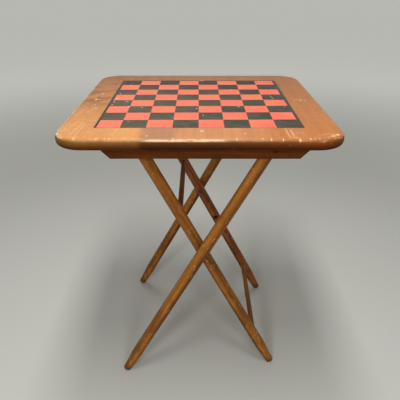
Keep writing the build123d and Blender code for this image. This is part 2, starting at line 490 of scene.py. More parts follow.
class SharedEffects:
    """Builds each shared shader effect once, as a node group."""

    def __init__(self) -> None:
        """Draws every group."""
        self.grain()
        self.scratches()
        self.flecks()
        self.blotches()
        self.mark()
        self.rim()

    def start(
        self,
        kind: Effect,
        values: dict,
        results: tuple[str, ...] = ("Mask",),
    ) -> tuple[NodeSheet, bpy.types.NodeOutputs, bpy.types.Node]:
        """Opens a group with its sockets, the first of them a vector.

        Args:
            kind: Which effect it is.
            values: Each further input's name and default, a number or three numbers.
            results: Each output's name.

        Returns:
            The sheet to draw on, the group's inputs and its output node.
        """
        tree = bpy.data.node_groups.new(kind.value, "ShaderNodeTree")
        for name, default in {"Vector": ORIGIN, **values}.items():
            sort = "NodeSocketVector" if isinstance(default, tuple) else "NodeSocketFloat"
            tree.interface.new_socket(name=name, in_out="INPUT", socket_type=sort).default_value = default
        for name in results:
            tree.interface.new_socket(name=name, in_out="OUTPUT", socket_type="NodeSocketFloat")
        return NodeSheet(tree), tree.nodes.new("NodeGroupInput").outputs, tree.nodes.new("NodeGroupOutput")

    def grain(self) -> None:
        """Growth rings, fine streaks and pores that run along X."""
        values = {"Ring Scale": 1.0, "Streak Scale": 1.0}
        sheet, source, result = self.start(Effect.GRAIN, values, ("Rings", "Streaks", "Pores"))
        vector = source["Vector"]
        wander = sheet.cloud(sheet.stretched(vector, (3.0, 9.0, 9.0)), 1.0)
        lines = sheet.stretched(vector, (2.2, 70.0, 70.0))
        rings = sheet.cloud(lines, source["Ring Scale"], detail=3.0, rough=0.55, twist=0.6)
        fine = sheet.stretched(vector, (14.0, 620.0, 620.0))
        streaks = sheet.cloud(fine, source["Streak Scale"], rough=0.6)
        dots = sheet.stretched(vector, (90.0, 1500.0, 1500.0))
        pores = sheet.step(sheet.cloud(dots, 1.0, detail=1.0), 0.66, 0.74)
        mixed = sheet.math("MULTIPLY_ADD", wander, 0.35, sheet.times(rings, 0.65))
        sheet.fill(result, {"Rings": mixed, "Streaks": streaks, "Pores": pores})

    def scratches(self) -> None:
        """Sparse fine scratches in three directions."""
        sheet, source, result = self.start(Effect.SCRATCHES, {"Scale": 1.0, "Amount": 0.5})
        masks = []
        for turn, offset in ((0.5, 0.0), (-0.9, 3.0), (1.9, 7.0)):
            inputs = {
                "Vector": source["Vector"],
                "Location": (offset, 0.0, offset),
                "Rotation": (0.0, turn * 0.4, turn),
                "Scale": (9.0, 130.0, 130.0),
            }
            lines = sheet.cloud(sheet.add("Mapping", inputs).outputs[0], source["Scale"], detail=1.0)
            away = sheet.math("ABSOLUTE", sheet.math("SUBTRACT", lines, 0.5))
            patch = sheet.cloud(source["Vector"], 38.0 + offset)
            level = sheet.math("SUBTRACT", 0.86, sheet.times(source["Amount"], 0.4))
            chosen = sheet.add("MapRange", {0: patch, 1: level, 2: 0.9}).outputs[0]
            masks.append(sheet.times(sheet.step(away, 0.012, 0.003), chosen))
        sheet.fill(result, {"Mask": sheet.math("MINIMUM", sheet.strongest(masks), 1.0)})

    def flecks(self) -> None:
        """Small nicks strewn over the surface."""
        sheet, source, result = self.start(Effect.FLECKS, {"Scale": 60.0, "Amount": 0.1, "Size": 0.2})
        vector = source["Vector"]
        cells = sheet.add("TexVoronoi", {"Vector": vector, "Scale": source["Scale"]}).outputs
        dice = sheet.add("SeparateColor", {0: cells["Color"]}).outputs
        ragged = sheet.times(sheet.math("SUBTRACT", sheet.cloud(vector, 900.0), 0.5), 0.25)
        distance = sheet.math("ADD", cells["Distance"], ragged)
        inside = sheet.math("LESS_THAN", distance, sheet.times(source["Size"], dice[1]))
        chosen = sheet.math("LESS_THAN", dice[0], source["Amount"])
        sheet.fill(result, {"Mask": sheet.times(inside, chosen)})

    def blotches(self) -> None:
        """Broad uneven patches with soft edges."""
        sheet, source, result = self.start(Effect.BLOTCHES, {"Scale": 12.0, "Low": 0.4, "High": 0.6})
        patches = sheet.cloud(source["Vector"], source["Scale"], detail=5.0, rough=0.58, twist=0.3)
        inputs = {0: patches, 1: source["Low"], 2: source["High"]}
        soft = sheet.add("MapRange", inputs, interpolation_type="SMOOTHSTEP")
        sheet.fill(result, {"Mask": soft.outputs[0]})

    def mark(self) -> None:
        """One long or round mark at a place, with ragged edges."""
        values = {"Location": ORIGIN, "Rotation": ORIGIN, "Size": (1.0, 1.0, 1.0), "Ragged": 0.0, "Other": 0.0}
        sheet, source, result = self.start(Effect.MARK, values)
        inputs = {name: source[name] for name in ("Vector", "Location", "Rotation")}
        local = sheet.add("Mapping", {**inputs, "Scale": source["Size"]}, vector_type="TEXTURE").outputs[0]
        near = sheet.add("TexGradient", {"Vector": local}, gradient_type="SPHERICAL").outputs["Fac"]
        distance = sheet.math("MULTIPLY_ADD", near, -MARK_REACH, MARK_REACH)
        edge = sheet.step(sheet.math("ADD", distance, source["Ragged"]), 1.30, 1.00)
        sheet.fill(result, {"Mask": sheet.math("MAXIMUM", edge, source["Other"])})

    def rim(self) -> None:
        """Distance inwards from the outline of a rectangle with round corners."""
        halves = {"Half Length": 0.26, "Half Width": 0.26}
        sheet, source, result = self.start(Effect.RIM, {**halves, "Corner": 0.05}, ("Distance",))
        across = sheet.parts(source["Vector"])
        beyond, inner = [], []
        for axis, half in enumerate(halves):
            straight = sheet.math("SUBTRACT", source[half], source["Corner"])
            past = sheet.math("SUBTRACT", sheet.math("ABSOLUTE", across[axis]), straight)
            inner.append(past)
            beyond.append(sheet.math("POWER", sheet.math("MAXIMUM", past, 0.0), 2.0))
        outside = sheet.math("SQRT", sheet.math("ADD", *beyond))
        deeper = sheet.math("MINIMUM", sheet.math("MAXIMUM", *inner), 0.0)
        signed = sheet.math("ADD", outside, deeper)
        sheet.fill(result, {"Distance": sheet.math("SUBTRACT", source["Corner"], signed)})


@dataclass(frozen=True)
class Grain:
    """Where a piece's own X axis starts and points, so that grain runs along it.

    The shaded side is 1 where the piece's own Z points to its underside, which takes painted shade, or -1.
    """

    place: Place = ORIGIN
    turn: Place = ORIGIN
    shaded_side: float = 0.0


def new_material(name: str) -> tuple[bpy.types.Material, NodeSheet, bpy.types.Node]:
    """Starts a material with a Principled shader on its output.

    Args:
        name: The material's name.

    Returns:
        The material, a sheet on its nodes and the Principled shader.
    """
    material = bpy.data.materials.new(name)
    material.use_nodes = True
    material.node_tree.nodes.clear()
    sheet = NodeSheet(material.node_tree)
    shader = sheet.add("BsdfPrincipled")
    sheet.add("OutputMaterial", {"Surface": shader.outputs[0]})
    return material, sheet, shader


@dataclass(frozen=True)
class WoodFinish:
    """Old varnished wood: its tones from bare to grimy, its gloss and its wear."""

    name: str
    pale: Colour
    middle: Colour
    dark: Colour
    bare: Colour
    grime: Colour
    streaks: Colour = tone(190, 150, 110)
    pores: Colour = tone(140, 95, 60)
    mottle: Colour = tone(205, 160, 120)
    # Painted shade for the underside of a leg.
    underside_shade: Colour = tone(150, 128, 104)
    gloss: float = 0.44
    dull: float = 0.68
    coat: float = 0.07
    coat_rough: float = 0.20
    sheen_level: float = 0.22
    scratch_amount: float = 0.4
    nick_amount: float = 0.10
    grime_share: float = 0.55
    foot_grime: float = 0.0
    relief: float = 0.0004

    def material(self, grain: Grain, tag: str) -> bpy.types.Material:
        """Lays out the finish for a piece.

        Args:
            grain: Where the piece's grain runs.
            tag: A word for the piece, added to the material's name.

        Returns:
            The finished material.
        """
        material, sheet, shader = new_material(f"{self.name}_{tag}")
        world = sheet.add("TexCoord").outputs["Object"]
        inputs = {"Vector": world, "Location": grain.place, "Rotation": grain.turn}
        along = sheet.add("Mapping", inputs, vector_type="TEXTURE").outputs[0]
        wood = sheet.effect(Effect.GRAIN, {"Vector": along})
        colour = sheet.ramp(wood["Rings"], ((0.36, self.dark), (0.5, self.middle), (0.64, self.pale)))
        colour = sheet.tint(sheet.step(wood["Streaks"], 0.62, 0.35), colour, self.streaks, strength=0.35)
        colour = sheet.tint(wood["Pores"], colour, self.pores, strength=0.5)
        drawn = sheet.stretched(along, (0.4, 1.0, 1.0))
        patch = sheet.mask(Effect.BLOTCHES, drawn, scale=42.0, low=0.48, high=0.72)
        colour = sheet.blend(patch, colour, self.grime, strength=self.grime_share)
        mottle = sheet.mask(Effect.BLOTCHES, drawn, scale=150.0, low=0.35, high=0.75)
        colour = sheet.tint(mottle, colour, self.mottle, strength=0.35)
        # Painted shade: the leg's underside is darkened, as light from above leaves it.
        if grain.shaded_side:
            depth = sheet.times(sheet.parts(along)[2], grain.shaded_side)
            colour = sheet.tint(sheet.step(depth, -0.002, 0.012), colour, self.underside_shade, strength=0.7)
        if self.foot_grime:
            low = sheet.step(sheet.parts(world)[2], self.foot_grime, 0.0)
            colour = sheet.blend(low, colour, self.grime, strength=0.85)
        scratch = sheet.mask(Effect.SCRATCHES, along, scale=1.0, amount=self.scratch_amount)
        colour = sheet.blend(scratch, colour, self.bare, strength=0.55)
        nick = sheet.mask(Effect.FLECKS, drawn, scale=330.0, amount=self.nick_amount * 2.5, size=0.45)
        nick = sheet.times(nick, sheet.step(sheet.cloud(along, 30.0), 0.46, 0.60))
        colour = sheet.blend(nick, colour, self.bare, strength=0.65)
        dent = sheet.mask(Effect.FLECKS, world, scale=34.0, amount=self.nick_amount, size=0.10)
        colour = sheet.blend(dent, colour, self.grime, strength=0.75)
        rough = sheet.between(sheet.cloud(along, 24.0, detail=4.0), self.gloss, self.dull)
        height = sheet.math("MULTIPLY_ADD", wood["Streaks"], 0.35, sheet.times(wood["Rings"], 0.5))
        height = sheet.math("SUBTRACT", height, sheet.times(wood["Pores"], 0.4))
        height = sheet.math("SUBTRACT", height, sheet.times(sheet.strongest([scratch, nick, dent]), 0.7))
        bump = sheet.add("Bump", {"Strength": 0.35, "Distance": self.relief, "Height": height})
        sheet.fill(shader, {
            "Base Color": colour,
            "Roughness": sheet.math("MULTIPLY_ADD", scratch, 0.2, rough),
            "Coat Weight": sheet.between(patch, self.coat, self.coat * 0.4),
            "Normal": bump.outputs[0],
            "Coat Roughness": self.coat_rough,
            "Specular IOR Level": self.sheen_level,
        })
        return material


@dataclass(frozen=True)
class SteelFinish:
    """Old plated steel with brown patina."""

    name: str
    bright: Colour
    patina: Colour
    worn_share: float
    mottle: Colour = tone(150, 140, 125)
    relief: float = 0.0001

    def material(self) -> bpy.types.Material:
        """Lays out the finish.

        Returns:
            The finished material.
        """
        material, sheet, shader = new_material(self.name)
        world = sheet.add("TexCoord").outputs["Object"]
        half = self.worn_share / 2
        fine = sheet.mask(Effect.BLOTCHES, world, scale=420.0, low=0.5 - half, high=0.75 - half)
        colour = sheet.blend(fine, self.bright, self.patina)
        colour = sheet.tint(sheet.cloud(world, 1400.0, detail=3.0), colour, self.mottle, strength=0.3)
        scratch = sheet.mask(Effect.SCRATCHES, world, scale=9.0, amount=0.9)
        height = sheet.math("SUBTRACT", sheet.times(fine, 0.6), scratch)
        bump = sheet.add("Bump", {"Strength": 0.4, "Distance": self.relief, "Height": height})
        sheet.fill(shader, {
            "Base Color": colour,
            "Roughness": sheet.between(fine, 0.32, 0.75),
            "Metallic": sheet.between(fine, 1.0, 0.1),
            "Normal": bump.outputs[0],
        })
        return material


@dataclass(frozen=True)
class Mark:
    """One visible mark on the board: a nick, a scratch or a chip."""

    x: float
    y: float
    half_length: float
    half_width: float
    turn: float = 0.0
    z: float = 0.641
    half_height: float = 0.02

    def mask(self, sheet: NodeSheet, vector: Socket, ragged: Socket, other: Socket | float) -> Socket:
        """Adds the mark to a mask.

        Args:
            sheet: The sheet to draw on.
            vector: The board's coordinates.
            ragged: How far the mark's edge wanders.
            other: The mask so far.

        Returns:
            The mask with this mark.
        """
        halves = (self.half_length, self.half_width, self.half_height)
        inputs = {
            "Vector": vector,
            "Location": (self.x, self.y, self.z),
            "Rotation": (0.0, 0.0, self.turn),
            "Size": tuple(MARK_REACH * half for half in halves),
            "Ragged": ragged,
            "Other": other,
        }
        return sheet.effect(Effect.MARK, inputs)["Mask"]


def marks_mask(sheet: NodeSheet, marks: list[Mark], vector: Socket, ragged: Socket) -> Socket:
    """Gathers several marks into one mask.

    Args:
        sheet: The sheet to draw on.
        marks: The marks.
        vector: The board's coordinates.
        ragged: How far the marks' edges wander.

    Returns:
        The mask of them all.
    """
    mask: Socket | float = 0.0
    for mark in marks:
        mask = mark.mask(sheet, vector, ragged, mask)
    return mask


def scratch_between(start: Spot, end: Spot, width: float) -> Mark:
    """A thin straight scratch between two places on the board.

    Args:
        start: One end.
        end: The other end.
        width: Its width.

    Returns:
        The mark.
    """
    middle = [(a + b) / 2 for a, b in zip(start, end)]
    run = [b - a for a, b in zip(start, end)]
    half = math.hypot(*run) / 2
    return Mark(middle[0], middle[1], half, width / 2, math.atan2(run[1], run[0]))


# Each nick: X, Y, half length, half width and, where it has one, its turn.
NICKS = [Mark(*nick) for nick in (
    (-0.2312, 0.0022, 0.0030, 0.0022, 0.1), (-0.2265, 0.0536, 0.0018, 0.0022),
    (-0.2229, 0.0269, 0.0012, 0.0014), (-0.2225, 0.0023, 0.0010, 0.0014),
    (-0.2185, -0.0673, 0.0034, 0.0014, 0.2), (-0.2233, -0.0794, 0.0016, 0.0014),
    (-0.2302, -0.0934, 0.0028, 0.0010, 0.4), (-0.2253, -0.0401, 0.0010, 0.0018),
    (-0.1720, 0.1379, 0.0022, 0.0020), (-0.1858, 0.0569, 0.0012, 0.0018),
    (-0.1855, 0.0123, 0.0018, 0.0022), (-0.1879, -0.0168, 0.0012, 0.0022),
    (-0.1889, -0.0397, 0.0010, 0.0024), (-0.1504, -0.0543, 0.0018, 0.0022),
    (-0.1220, -0.0609, 0.0013, 0.0018), (-0.1408, 0.0490, 0.0011, 0.0014),
    (-0.1603, -0.0132, 0.0030, 0.0009, 0.1), (-0.1371, -0.1614, 0.0016, 0.0010),
    (0.0757, 0.0942, 0.0017, 0.0022), (0.0891, 0.0669, 0.0010, 0.0012),
    (0.0468, 0.0131, 0.0012, 0.0016), (0.0833, -0.0549, 0.0016, 0.0018),
    (-0.0063, -0.0681, 0.0016, 0.0020), (0.0073, -0.1185, 0.0008, 0.0024),
    (0.1806, -0.0563, 0.0012, 0.0012), (0.0068, 0.1944, 0.0050, 0.0010),
    (-0.0933, -0.2427, 0.0016, 0.0020), (0.0035, -0.2157, 0.0034, 0.0018),
    (0.0816, -0.2289, 0.0016, 0.0016), (0.2261, -0.0013, 0.0026, 0.0022),
    (0.2350, -0.0037, 0.0017, 0.0016), (0.2180, 0.0040, 0.0040, 0.0008, -0.6),
    (0.2450, -0.2363, 0.0030, 0.0020), (0.2361, -0.2433, 0.0040, 0.0014, 0.3),
)]
# Each scratch: where it starts, where it ends and its width.
SCRATCHES = [scratch_between(*scratch) for scratch in (
    ((0.1621, 0.0405), (0.1675, 0.0067), 0.0014),
    ((0.1576, -0.2018), (0.1579, -0.2523), 0.0022),
    ((0.1658, -0.2087), (0.1663, -0.2438), 0.0030),
    ((0.1672, -0.2266), (0.1917, -0.2240), 0.0016),
    ((0.1600, -0.2480), (0.1760, -0.2530), 0.0034),
    ((-0.2225, -0.1622), (-0.2293, -0.2368), 0.0016),
    ((-0.2167, -0.1703), (-0.2212, -0.2448), 0.0012),
    ((-0.2420, -0.1980), (-0.2330, -0.1500), 0.0014),
    ((0.2120, -0.2400), (0.2330, -0.2290), 0.0016),
    ((0.2260, -0.2470), (0.2480, -0.2300), 0.0018),
    ((-0.2500, -0.1300), (-0.2400, -0.0800), 0.0014),
)]
STAINS = [Mark(-0.2452, 0.0020, 0.0090, 0.0100), Mark(-0.2465, 0.0780, 0.0060, 0.0095)]
# Each chip of the rim: X, Y, half length, half width and height.
EDGE_CHIPS = [Mark(*spot, turn=0.0, z=level, half_height=CHIP_HALF_HEIGHT) for *spot, level in (
    (0.0637, -0.2562, 0.0010, 0.0029, 0.6390), (0.1092, -0.2562, 0.0009, 0.0025, 0.6390),
    (0.1239, -0.2574, 0.0010, 0.0032, 0.6385), (0.1448, -0.2574, 0.0010, 0.0032, 0.6385),
    (0.1739, -0.2590, 0.0019, 0.0025, 0.6380), (0.1926, -0.2562, 0.0013, 0.0021, 0.6390),
    (0.2008, -0.2562, 0.0008, 0.0019, 0.6390), (0.2081, -0.2562, 0.0008, 0.0019, 0.6390),
    (-0.0471, -0.2574, 0.0017, 0.0029, 0.6385), (-0.1313, -0.2556, 0.0009, 0.0023, 0.6390),
    (-0.1581, -0.2562, 0.0013, 0.0021, 0.6390), (-0.1654, -0.2562, 0.0008, 0.0019, 0.6390),
    (-0.1800, -0.2566, 0.0033, 0.0013, 0.6388), (-0.2191, -0.2560, 0.0012, 0.0019, 0.6390),
    (0.2565, -0.0850, 0.0021, 0.0016, 0.6390), (0.2590, 0.0173, 0.0024, 0.0018, 0.6385),
    (0.2590, -0.1480, 0.0019, 0.0030, 0.6385), (0.2590, 0.1250, 0.0016, 0.0024, 0.6385),
)]


@dataclass(frozen=True)
class Plank:
    """One of the boards glued edge to edge in the top, from and to a share of its length."""

    start: float
    end: float
    varnish: Colour


@dataclass(frozen=True)
class BoardFinish:
    """The painted board: honey varnish round a hand-painted checkered field."""

    layout: Layout
    columns: Lines = (-0.1921, -0.1484, -0.1000, -0.0509, -0.0020, 0.0458, 0.0950, 0.1430, 0.1890)
    rows: Lines = (-0.1967, -0.1480, -0.0982, -0.0496, -0.0006, 0.0479, 0.0964, 0.1460, 0.1895)
    border_sides: Lines = (0.0059, 0.0068)
    border_ends: Lines = (0.0014, 0.0060)
    border_spread: float = 0.005
    row_slant: float = 0.012
    brush_wander: float = 0.0009
    paint_edge: float = 0.00015
    red: Colour = tone(250, 112, 86)
    # Paler red for the painted sheen on the left.
    red_left_sheen: Colour = tone(252, 126, 98)
    red_faded: Colour = tone(250, 132, 92)
    black: Colour = tone(38, 40, 24)
    black_faded_and_sheen: Colour = tone(92, 80, 60)
    # Painted shade for the black squares at the rear.
    black_rear_shade: Colour = tone(168, 136, 92)
    brush_marks: Colour = tone(190, 180, 170)
    line: Colour = tone(58, 50, 38)
    primer: Colour = tone(252, 226, 190)
    bare: Colour = tone(250, 202, 144)
    # The two edge colours are worn bare wood, and also carry painted highlight along the front and left arris.
    worn_edge_highlight: Colour = tone(236, 192, 146)
    bare_edge_highlight: Colour = tone(254, 228, 188)
    rim_shade: Colour = tone(192, 197, 200)
    rings: Colour = tone(200, 150, 105)
    streaks: Colour = tone(190, 140, 100)
    underside_tone: Colour = tone(186, 134, 86)
    underside_dark: Colour = tone(148, 98, 58)
    underside_fade: Colour = tone(190, 160, 130)
    varnish_stain: Colour = tone(142, 90, 56)
    planks: tuple[Plank, ...] = (
        Plank(0.0, 0.292, tone(228, 159, 92)),
        Plank(0.312, 0.405, tone(185, 130, 91)),
        Plank(0.432, 0.62, tone(213, 145, 91)),
        Plank(0.78, 1.0, tone(201, 125, 62)),
    )
    rear_varnish: Colour = tone(167, 107, 60)
    side_varnish: Stops = (
        (0.0, tone(150, 102, 48)),
        (0.292, tone(152, 100, 42)),
        (0.312, tone(102, 58, 18)),
        (0.60, tone(110, 62, 18)),
        (0.78, tone(134, 70, 22)),
        (1.0, tone(150, 78, 28)),
    )
    # Painted shade at the foot of the board's edge.
    side_bottom_shade: Colour = tone(180, 134, 40)
    side_blotch: Colour = tone(84, 48, 20)
    coat_rough: float = 0.36
    sheen_level: float = 0.11
    relief: float = 0.00025

    def field_masks(self, sheet: NodeSheet, vector: Socket) -> tuple[Socket, Socket, Socket]:
        """Finds the painted field.

        Args:
            sheet: The sheet to draw on.
            vector: The board's coordinates.

        Returns:
            Masks of the whole painted field, of its squares and of the red ones among them.
        """
        parts = sheet.parts(vector)
        places = []
        for axis in (0, 1):
            coarse = sheet.cloud(sheet.stretched(vector, (1.0 + axis, 1.0, 1.0)), 75.0, detail=1.0)
            fine = sheet.cloud(sheet.stretched(vector, (1.0 + axis, 1.0, 1.0)), 420.0)
            sway = sheet.math("SUBTRACT", sheet.math("ADD", coarse, sheet.times(fine, 0.6)), 0.8)
            places.append(sheet.math("MULTIPLY_ADD", sway, self.brush_wander, parts[axis]))
        soft = self.paint_edge
        spread = sheet.times(parts[1], self.border_spread)
        field, squares, count = [], [], []
        lots = zip(places, (self.columns, self.rows), (self.border_sides, self.border_ends))
        for axis, (place, lines, (low, high)) in enumerate(lots):
            first, last = lines[0], lines[-1]
            left, right, slanted = place, place, place
            if axis == 0:
                left, right = sheet.math("ADD", place, spread), sheet.math("SUBTRACT", place, spread)
            field.append(sheet.step(left, first - low - soft, first - low + soft))
            field.append(sheet.step(right, last + high + soft, last + high - soft))
            squares.append(sheet.step(place, first - soft, first + soft))
            squares.append(sheet.step(place, last + soft, last - soft))
            if axis == 1:
                slanted = sheet.math("MULTIPLY_ADD", parts[0], -self.row_slant, place)
            count += [sheet.math("GREATER_THAN", slanted, line) for line in lines[1:-1]]
        whole, inner = sheet.times(*field), sheet.times(*squares)
        passed = count[0]
        for more in count[1:]:
            passed = sheet.math("ADD", passed, more)
        odd = sheet.math("FLOORED_MODULO", passed, 2.0)
        return whole, inner, sheet.times(inner, sheet.math("LESS_THAN", odd, 0.5))

    def share_across(self, sheet: NodeSheet, sway: Socket, wander: float, across: Socket) -> Socket:
        """Place along the board's length from 0 to 1, with a wandering edge."""
        moved_across = sheet.math("MULTIPLY_ADD", sway, wander, across)
        return sheet.math("MULTIPLY_ADD", moved_across, 1 / self.layout.top_length, 0.5)

    def wood_tone(self, sheet: NodeSheet, vector: Socket) -> Socket:
        """The varnished wood of the board's upper face, plank by plank.

        Args:
            sheet: The sheet to draw on.
            vector: The board's coordinates.

        Returns:
            The wood's colour.
        """
        parts = sheet.parts(vector)
        sway = sheet.math("SUBTRACT", sheet.cloud(vector, 42.0, detail=4.0, rough=0.6), 0.5)
        share = self.share_across(sheet, sway, 0.022, parts[0])
        ends = ((end, plank.varnish) for plank in self.planks for end in (plank.start, plank.end))
        front = sheet.ramp(share, tuple(ends))
        deep = sheet.math("MULTIPLY_ADD", sheet.math("MULTIPLY_ADD", sway, 0.10, parts[1]), 2.3, 0.46)
        deep = sheet.math("MINIMUM", sheet.math("MAXIMUM", deep, 0.0), 1.0)
        colour = sheet.blend(deep, front, self.rear_varnish)
        along = sheet.add("Mapping", {"Vector": vector, "Rotation": (0.0, 0.0, math.pi / 2)}).outputs[0]
        wood = sheet.effect(Effect.GRAIN, {"Vector": along, "Ring Scale": 0.7, "Streak Scale": 0.8})
        colour = sheet.tint(sheet.step(wood["Rings"], 0.60, 0.38), colour, self.rings, strength=0.20)
        colour = sheet.tint(sheet.step(wood["Streaks"], 0.60, 0.36), colour, self.streaks, strength=0.16)
        worn = sheet.mask(Effect.BLOTCHES, vector, scale=34.0, low=0.47, high=0.60)
        worn = sheet.times(worn, sheet.step(share, 0.30, 0.16), sheet.step(parts[1], -0.08, 0.0))
        colour = sheet.blend(worn, colour, self.varnish_stain, strength=0.75)
        pale = sheet.mask(Effect.BLOTCHES, vector, scale=75.0, low=0.52, high=0.70)
        pale = sheet.times(pale, sheet.step(parts[1], -0.04, -0.18), sheet.step(share, 0.36, 0.18))
        return sheet.blend(pale, colour, self.bare, strength=0.40)

    def side_tone(self, sheet: NodeSheet, vector: Socket) -> Socket:
        """The darker varnish round the board's edge, with painted shade towards its lower face.

        Args:
            sheet: The sheet to draw on.
            vector: The board's coordinates.

        Returns:
            The edge's colour.
        """
        parts = sheet.parts(vector)
        sway = sheet.math("SUBTRACT", sheet.cloud(vector, 60.0, detail=3.0), 0.5)
        colour = sheet.ramp(self.share_across(sheet, sway, 0.006, parts[0]), self.side_varnish)
        # Painted shade: the edge darkens towards the board's lower face.
        low = sheet.step(parts[2], self.layout.table_height - 0.0055, self.layout.underside + 0.005)
        colour = sheet.tint(low, colour, self.side_bottom_shade)
        blotch = sheet.mask(Effect.BLOTCHES, vector, scale=45.0, low=0.45, high=0.65)
        return sheet.blend(blotch, colour, self.side_blotch, strength=0.3)

    def underside(self, sheet: NodeSheet, vector: Socket, fade: Socket) -> Socket:
        """The plain wood of the board's lower face.

        Args:
            sheet: The sheet to draw on.
            vector: The board's coordinates.
            fade: Broad uneven patches.

        Returns:
            The wood's colour.
        """
        rings = sheet.cloud(sheet.stretched(vector, (70.0, 2.2, 70.0)), 1.0, detail=4.0, rough=0.6)
        colour = sheet.blend(sheet.step(rings, 0.38, 0.62), self.underside_tone, self.underside_dark)
        return sheet.tint(fade, colour, self.underside_fade, strength=0.45)

    def paint(self, sheet: NodeSheet, vector: Socket, fade: Socket, squares: Socket, red: Socket) -> Socket:
        """The painted field, before its brush marks, with painted sheen on its left and painted shade on its
        rear black squares.

        Args:
            sheet: The sheet to draw on.
            vector: The board's coordinates.
            fade: Broad uneven patches.
            squares: Where the squares are.
            red: Where the red ones are.

        Returns:
            The paint's colour.
        """
        place = sheet.parts(vector)
        # Painted sheen: the paint is paler on the left, as light from that side leaves it; the black also
        # fades in real uneven patches.
        left_sheen = sheet.step(place[0], 0.16, -0.20)
        hue = sheet.step(sheet.cloud(vector, 17.0, detail=1.0), 0.42, 0.58)
        reds = sheet.blend(left_sheen, self.red, self.red_left_sheen)
        reds = sheet.blend(hue, reds, self.red_faded, strength=0.6)
        fade_and_sheen = sheet.math("MULTIPLY_ADD", fade, 0.35, sheet.times(left_sheen, 0.65))
        blacks = sheet.blend(fade_and_sheen, self.black, self.black_faded_and_sheen)
        # Painted shade: the black squares darken towards the rear.
        blacks = sheet.tint(sheet.step(place[1], 0.0, 0.19), blacks, self.black_rear_shade)
        return sheet.blend(squares, self.line, sheet.blend(red, blacks, reds))

    def worn_rim(self, sheet: NodeSheet, vector: Socket, rubbed: Socket, colour: Socket) -> Socket:
        """The rim with its painted shade, its rubbed edges, the painted highlights along its front and left
        arris, and the scuffed corner.

        Args:
            sheet: The sheet to draw on.
            vector: The board's coordinates.
            rubbed: Uneven patches where the varnish is rubbed.
            colour: The board's colour so far.

        Returns:
            The worn colour.
        """
        layout, place = self.layout, sheet.parts(vector)
        outline = {
            "Vector": vector,
            "Half Length": layout.top_length / 2,
            "Half Width": layout.top_width / 2,
            "Corner": layout.top_corner,
        }
        rim = sheet.effect(Effect.RIM, outline)["Distance"]
        arris = sheet.times(sheet.step(rim, 0.0010, 0.0024), sheet.step(rim, 0.0064, 0.0042))
        above = sheet.step(place[2], layout.table_height - 0.007, layout.table_height - 0.004)
        arris = sheet.times(arris, above)
        streaky = sheet.cloud(sheet.stretched(vector, (60.0, 260.0, 60.0)), 1.0, detail=3.0)
        # Worn bare edge and painted highlight along the front arris.
        front_wear_highlight = sheet.times(sheet.step(place[0], -0.112, -0.085), sheet.step(place[0], 0.060, 0.030))
        front_wear_highlight = sheet.times(front_wear_highlight, sheet.step(place[1], -0.20, -0.24))
        front_wear_highlight = sheet.times(front_wear_highlight, sheet.step(streaky, 0.34, 0.52))
        # Bare pale line and painted highlight along the left arris.
        left_rim = sheet.times(sheet.step(rim, 0.0014, 0.0026), sheet.step(rim, 0.0074, 0.0052))
        left_wear_highlight = sheet.times(sheet.step(place[0], -0.235, -0.250), sheet.step(streaky, 0.40, 0.58))
        right_line = sheet.times(sheet.step(place[0], 0.246, 0.255), sheet.step(streaky, 0.46, 0.60))
        worn = sheet.strongest([sheet.times(rubbed, 0.15), front_wear_highlight, sheet.times(right_line, 0.6)])
        # Painted shade darkens the rounded rim.
        colour = sheet.tint(sheet.step(rim, 0.0085, 0.0030), colour, self.rim_shade, strength=0.55)
        colour = sheet.blend(sheet.times(arris, worn), colour, self.worn_edge_highlight)
        colour = sheet.blend(sheet.times(left_rim, left_wear_highlight), colour, self.bare_edge_highlight)
        corner = sheet.times(sheet.step(place[0], 0.150, 0.245), sheet.step(place[1], -0.222, -0.240))
        scuffs = sheet.mask(Effect.BLOTCHES, vector, scale=230.0, low=0.54, high=0.62)
        high = sheet.step(place[2], layout.table_height - 0.009, layout.table_height - 0.001)
        return sheet.blend(sheet.times(scuffs, corner, high), colour, self.bare, strength=0.42)

    def material(self) -> bpy.types.Material:
        """Lays out the board's finish.

        Returns:
            The finished material.
        """
        layout = self.layout
        material, sheet, shader = new_material("painted_board")
        vector = sheet.add("TexCoord").outputs["Object"]
        height = sheet.parts(vector)[2]
        field, squares, red = self.field_masks(sheet, vector)
        upper = sheet.step(height, layout.table_height - 0.0060, layout.table_height - 0.0012)
        under = sheet.step(height, layout.underside + 0.0016, layout.underside + 0.0004)
        wood = sheet.blend(upper, self.side_tone(sheet, vector), self.wood_tone(sheet, vector))
        fade = sheet.mask(Effect.BLOTCHES, vector, scale=22.0, low=0.42, high=0.62)
        wood = sheet.blend(under, wood, self.underside(sheet, vector, fade))
        paint = self.paint(sheet, vector, fade, squares, red)
        brush = sheet.cloud(sheet.stretched(vector, (30.0, 600.0, 30.0)), 1.0)
        paint = sheet.tint(sheet.step(brush, 0.6, 0.3), paint, self.brush_marks, strength=0.18)
        painted = sheet.times(field, upper)
        colour = sheet.blend(painted, wood, paint)
        rubbed = sheet.mask(Effect.BLOTCHES, vector, scale=70.0, low=0.42, high=0.60)
        colour = self.worn_rim(sheet, vector, rubbed, colour)
        scratch = sheet.mask(Effect.SCRATCHES, vector, scale=0.9, amount=0.55)
        unpainted = sheet.math("SUBTRACT", 1.0, painted)
        fine = sheet.times(scratch, sheet.math("MULTIPLY_ADD", unpainted, 0.45, 0.12))
        colour = sheet.blend(fine, colour, self.bare)
        flecks = sheet.mask(Effect.FLECKS, vector, scale=75.0, amount=0.030, size=0.12)
        colour = sheet.blend(flecks, colour, self.primer, strength=0.45)
        ragged = sheet.times(sheet.math("SUBTRACT", sheet.cloud(vector, 420.0, detail=3.0), 0.5), 1.2)
        nicks = marks_mask(sheet, NICKS, vector, ragged)
        stains = marks_mask(sheet, STAINS, vector, ragged)
        colour = sheet.blend(stains, colour, self.varnish_stain, strength=0.6)
